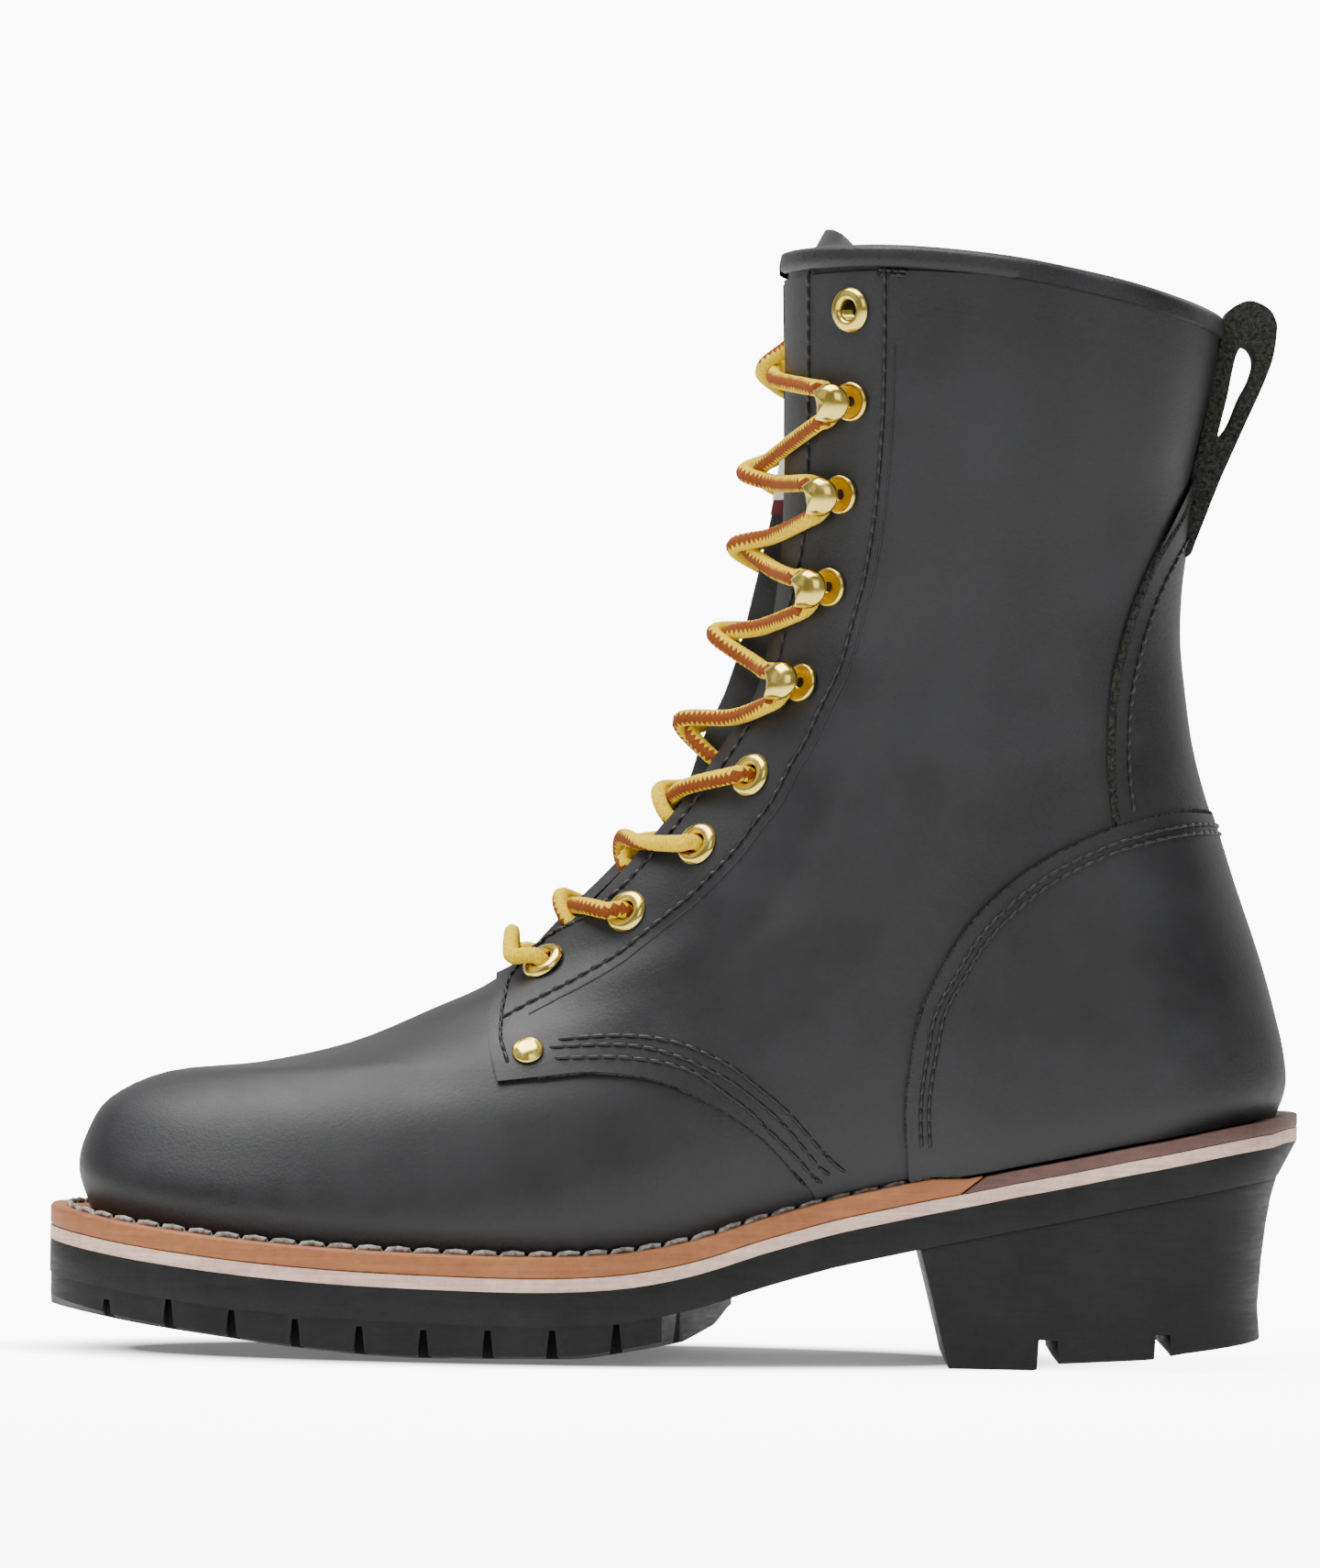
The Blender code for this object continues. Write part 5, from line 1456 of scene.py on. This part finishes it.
COUNTER_2 = [
    (133.8, 132.3), (125.1, 132.6), (114.4, 130.3), (103.9, 126.5), (89.0, 118.2), (76.6, 106.6),
    (68.5, 93.2), (64.4, 80.6), (62.5, 66.1), (62.9, 55.2),
]
BACKSTAY_1 = [
    (111.8, 138.4), (110.2, 153.3), (110.6, 166.3), (113.1, 179.4), (116.5, 190.5), (121.6, 201.8),
    (126.5, 211.1),
]
COLLAR_TACKS = [[(46.0, 270.4), (53.2, 270.0)], [(46.2, 269.3), (53.0, 268.9)]]


def stitch_row(line, side, lift, pitch, radius, depth=0.3):
    """The stitches of one row, along a line seen from one side: each a short path of five points."""
    rows, places = zip(*(find_on_skin(x, z, side) for x, z in line))
    points, normals = [], []
    for i in range((len(line) - 1) * 10 + 1):
        row = min(max(curve_through(rows, i / 10), 0.0), float(LAST_ROW))
        place = curve_through(places, i / 10)
        points.append(skin(row, place, lift))
        normals.append(skin_normal(row, place))
    lengths = lengths_along(points)
    number = max(int(round(lengths[-1] / pitch)), 1)
    sink = (-depth, radius * 0.4, radius * 0.6, radius * 0.4, -depth)
    made = []
    for i in range(number):
        wanted = [lengths[-1] * (i + share) / number for share in (0.0, 0.22, 0.5, 0.78, 1.0)]
        out = read_at(wanted[2:3], lengths, normals)[0]
        made.append([spot + out * s for spot, s in zip(read_at(wanted, lengths, points), sink)])
    return made


def thread_object(name, stitches, radius, paint):
    """One object of many short bars of thread."""
    points, faces = [], []
    sides = 6
    for path in stitches:
        base = len(points)
        for i, spot in enumerate(path):
            ahead = (path[min(i + 1, len(path) - 1)] - path[max(i - 1, 0)]).normalized()
            normal = ahead.orthogonal().normalized()
            across = ahead.cross(normal)
            for k in range(sides):
                angle = 2 * math.pi * k / sides
                outward = normal * math.cos(angle) + across * math.sin(angle)
                points.append(tuple((spot + outward * radius) * MM))
        faces += quads(len(path), sides, closed=True, base=base) + end_caps(len(path), sides, base)
    mesh = bpy.data.meshes.new(name)
    mesh.from_pydata(points, [], faces)
    return finished(settle(shown(name, mesh), 70), paint)


stitches = []
for side in (-1, 1):
    stitches += stitch_row(FACING_EDGE, side, QUARTER_RISE, 3.6, 0.38)
    stitches += stitch_row(FACING_BACK, side, QUARTER_RISE, 3.6, 0.42)
    for line in (QUARTER_A, QUARTER_B, QUARTER_C):
        stitches += stitch_row(line, side, QUARTER_RISE, 3.9, 0.36)
    for line in (COUNTER_1, COUNTER_2):
        stitches += stitch_row(line, side, counter_lift, 3.3, 0.36)
    stitches += stitch_row(BACKSTAY_1, side, counter_lift - 0.5, 3.3, 0.36)
    for line in COLLAR_TACKS:
        stitches += stitch_row(line, side, QUARTER_RISE, 2.1, 0.4)
thread_object("seam_stitches", stitches, 0.5, thread)

# The line pressed into the leather beside the facing's back seam.
PRESSED_OUT = 2.4
pressed = []
for side in (-1, 1):
    offset_line = []
    for before, spot, after in zip(FACING_BACK, FACING_BACK[1:], FACING_BACK[2:]):
        ahead = (Vector(after) - Vector(before)).normalized()
        offset_line.append(tuple(Vector(spot) + Vector((ahead.y, -ahead.x)) * PRESSED_OUT))
    pressed += stitch_row(offset_line, side, QUARTER_RISE - 0.2, 4.0, 0.3, -0.12)
thread_object("pressed_line", pressed, 0.33, LEATHER)

# Raw edges: the cut edges of the overlays, which stand a little proud of the panel beside them.
RAW_STEP = 1.2
raw_bars, thin_bars = [], []
for side in (-1, 1):
    raw_bars += stitch_row(BACKSTAY_SIDE[1:], side, counter_lift - 1.3, RAW_STEP, 0.2, 0.0)
    thin_bars += stitch_row(COUNTER_TOP[1:-1], side, counter_lift - 0.5, RAW_STEP, 0.2, 0.0)
    thin_bars += stitch_row(QUARTER_FOOT[1:-1], side, QUARTER_RISE - 0.5, RAW_STEP, 0.2, 0.0)
thread_object("backstay_raw_edge", raw_bars, 1.15, raw)
thread_object("panel_raw_edges", thin_bars, 0.45, raw)


# Welt stitches: thick grey twisted thread on top of the welt, close to the upper.
# They hold the welt to the midsole, from one splice round the toe to the other.
grey, shader, place = new_finish("waxed_grey_thread", (0.42, 0.40, 0.36), 0.75)
bumped(shader, noise(place, 1500.0, 3.0), 0.6, 0.25)
strands = ramp(noise(place, 700.0), 0.35, 0.65)
feed(shader, "Base Color", tint(strands, (0.13, 0.12, 0.105), (0.42, 0.40, 0.37)))
WELT_STITCH_IN = 4.6
WELT_STITCH_PITCH = 7.0
WELT_STITCH_ARCH = ((0.02, -0.8), (0.16, 0.45), (0.5, 0.75), (0.84, 0.45), (0.98, -0.8))
seam_outline = inset(SOLE, WELT_STITCH_IN)
end_share = share_at(SOLE, WELT_ENDS_AT)
line = []
for i in range(-160, 161):
    side = -1 if i < 0 else 1
    x, y = plan_point(seam_outline, side, end_share * abs(i) / 160)
    line.append(Vector((x, y, welt_top(x))))
even = resampled(line, WELT_STITCH_PITCH)[0]
welt_stitches = []
for a, b in zip(even, even[1:]):
    welt_stitches.append([a.lerp(b, share) + Vector((0, 0, rise)) for share, rise in WELT_STITCH_ARCH])
thread_object("welt_stitches", welt_stitches, 0.75, grey)


# Stage: pale floor that sweeps up behind, soft light from above and from the toe side.
floor_paint, shader, place = new_finish("pale_floor", (0.90, 0.90, 0.90), 0.9)
shader.inputs["Emission Strength"].default_value = 10.0
depth = place.join("SeparateXYZ", {0: place}, out=1)
seen = place.join("LightPath", {}, out=0)
# Painted shadow: the camera sees the floor glow, except in a dark oval painted under the sole, about 250 mm
# by 90 mm.
PAINTED_SHADOW_AT, PAINTED_SHADOW_ALONG, PAINTED_SHADOW_ACROSS = -0.03, 7.7, 22.0
OTHER_RAYS = 0.048
along_share = (place.join("SeparateXYZ", {0: place}, out=0) - PAINTED_SHADOW_AT) * PAINTED_SHADOW_ALONG
across_share = depth * PAINTED_SHADOW_ACROSS
# Painted shadow mask: the glow falls to 2% inside the oval under the sole and is full outside it.
outside_painted_shadow = ramp(along_share * along_share + across_share * across_share, 0.65, 1.4, 0.02, 1.0)
glow = seen * (ramp(depth, -0.4, 0.9, 0.7, 1.0) * outside_painted_shadow - OTHER_RAYS) + OTHER_RAYS
feed(shader, "Emission Color", tint(glow, (0.0, 0.0, 0.0), (1.0, 1.0, 1.0)))
sweep = [(-3.0, 0.0), (2.2, 0.0), (2.9, 0.12), (3.4, 0.5), (3.7, 1.1), (3.8, 3.5)]
sweep_points = [(x, y, z - 0.0002) for y, z in sweep for x in (-4.0, 4.0)]
sweep_faces = [(2 * i, 2 * i + 1, 2 * i + 3, 2 * i + 2) for i in range(len(sweep) - 1)]
floor = solid_of("floor", sweep_points, sweep_faces)
floor.data.materials.append(floor_paint)
for face in floor.data.polygons:
    face.use_smooth = True

world = bpy.data.worlds.new("studio")
bpy.context.scene.world = world
world.use_nodes = True
world.node_tree.nodes["Background"].inputs["Color"].default_value = (1.0, 1.0, 1.0, 1.0)
world.node_tree.nodes["Background"].inputs["Strength"].default_value = 0.28

Light = namedtuple("Light", "name place aim size power")
LIGHTS = [
    Light("overhead", (-0.35, -0.1, 1.5), (-0.02, 0.0, 0.1), 1.3, 49.0),
    Light("toe_side", (-1.5, -0.3, 0.9), (-0.03, 0.0, 0.12), 0.9, 1.2),
    Light("camera_side", (0.3, -2.2, 1.3), (0.02, 0.0, 0.15), 1.2, 9.0),
    Light("back_rim", (1.2, 0.9, 1.1), (0.08, 0.0, 0.15), 0.8, 9.0),
]
for light in LIGHTS:
    lamp = bpy.data.lights.new(light.name, "AREA")
    lamp.size = light.size
    lamp.energy = light.power
    made = shown(light.name, lamp)
    made.location = light.place
    made.rotation_euler = (Vector(light.aim) - Vector(light.place)).to_track_quat("-Z", "Y").to_euler()

# Camera: level, square on to the inner side, rolled as the photo is.
camera_data = bpy.data.cameras.new("camera")
camera_data.lens = 182.86
camera_data.sensor_width = 36.0
camera = shown("camera", camera_data)
camera.location = (-0.00525, -2.0, 0.1434)
camera.rotation_euler = (math.radians(90.0), math.radians(-0.9), 0.0)
bpy.context.scene.camera = camera
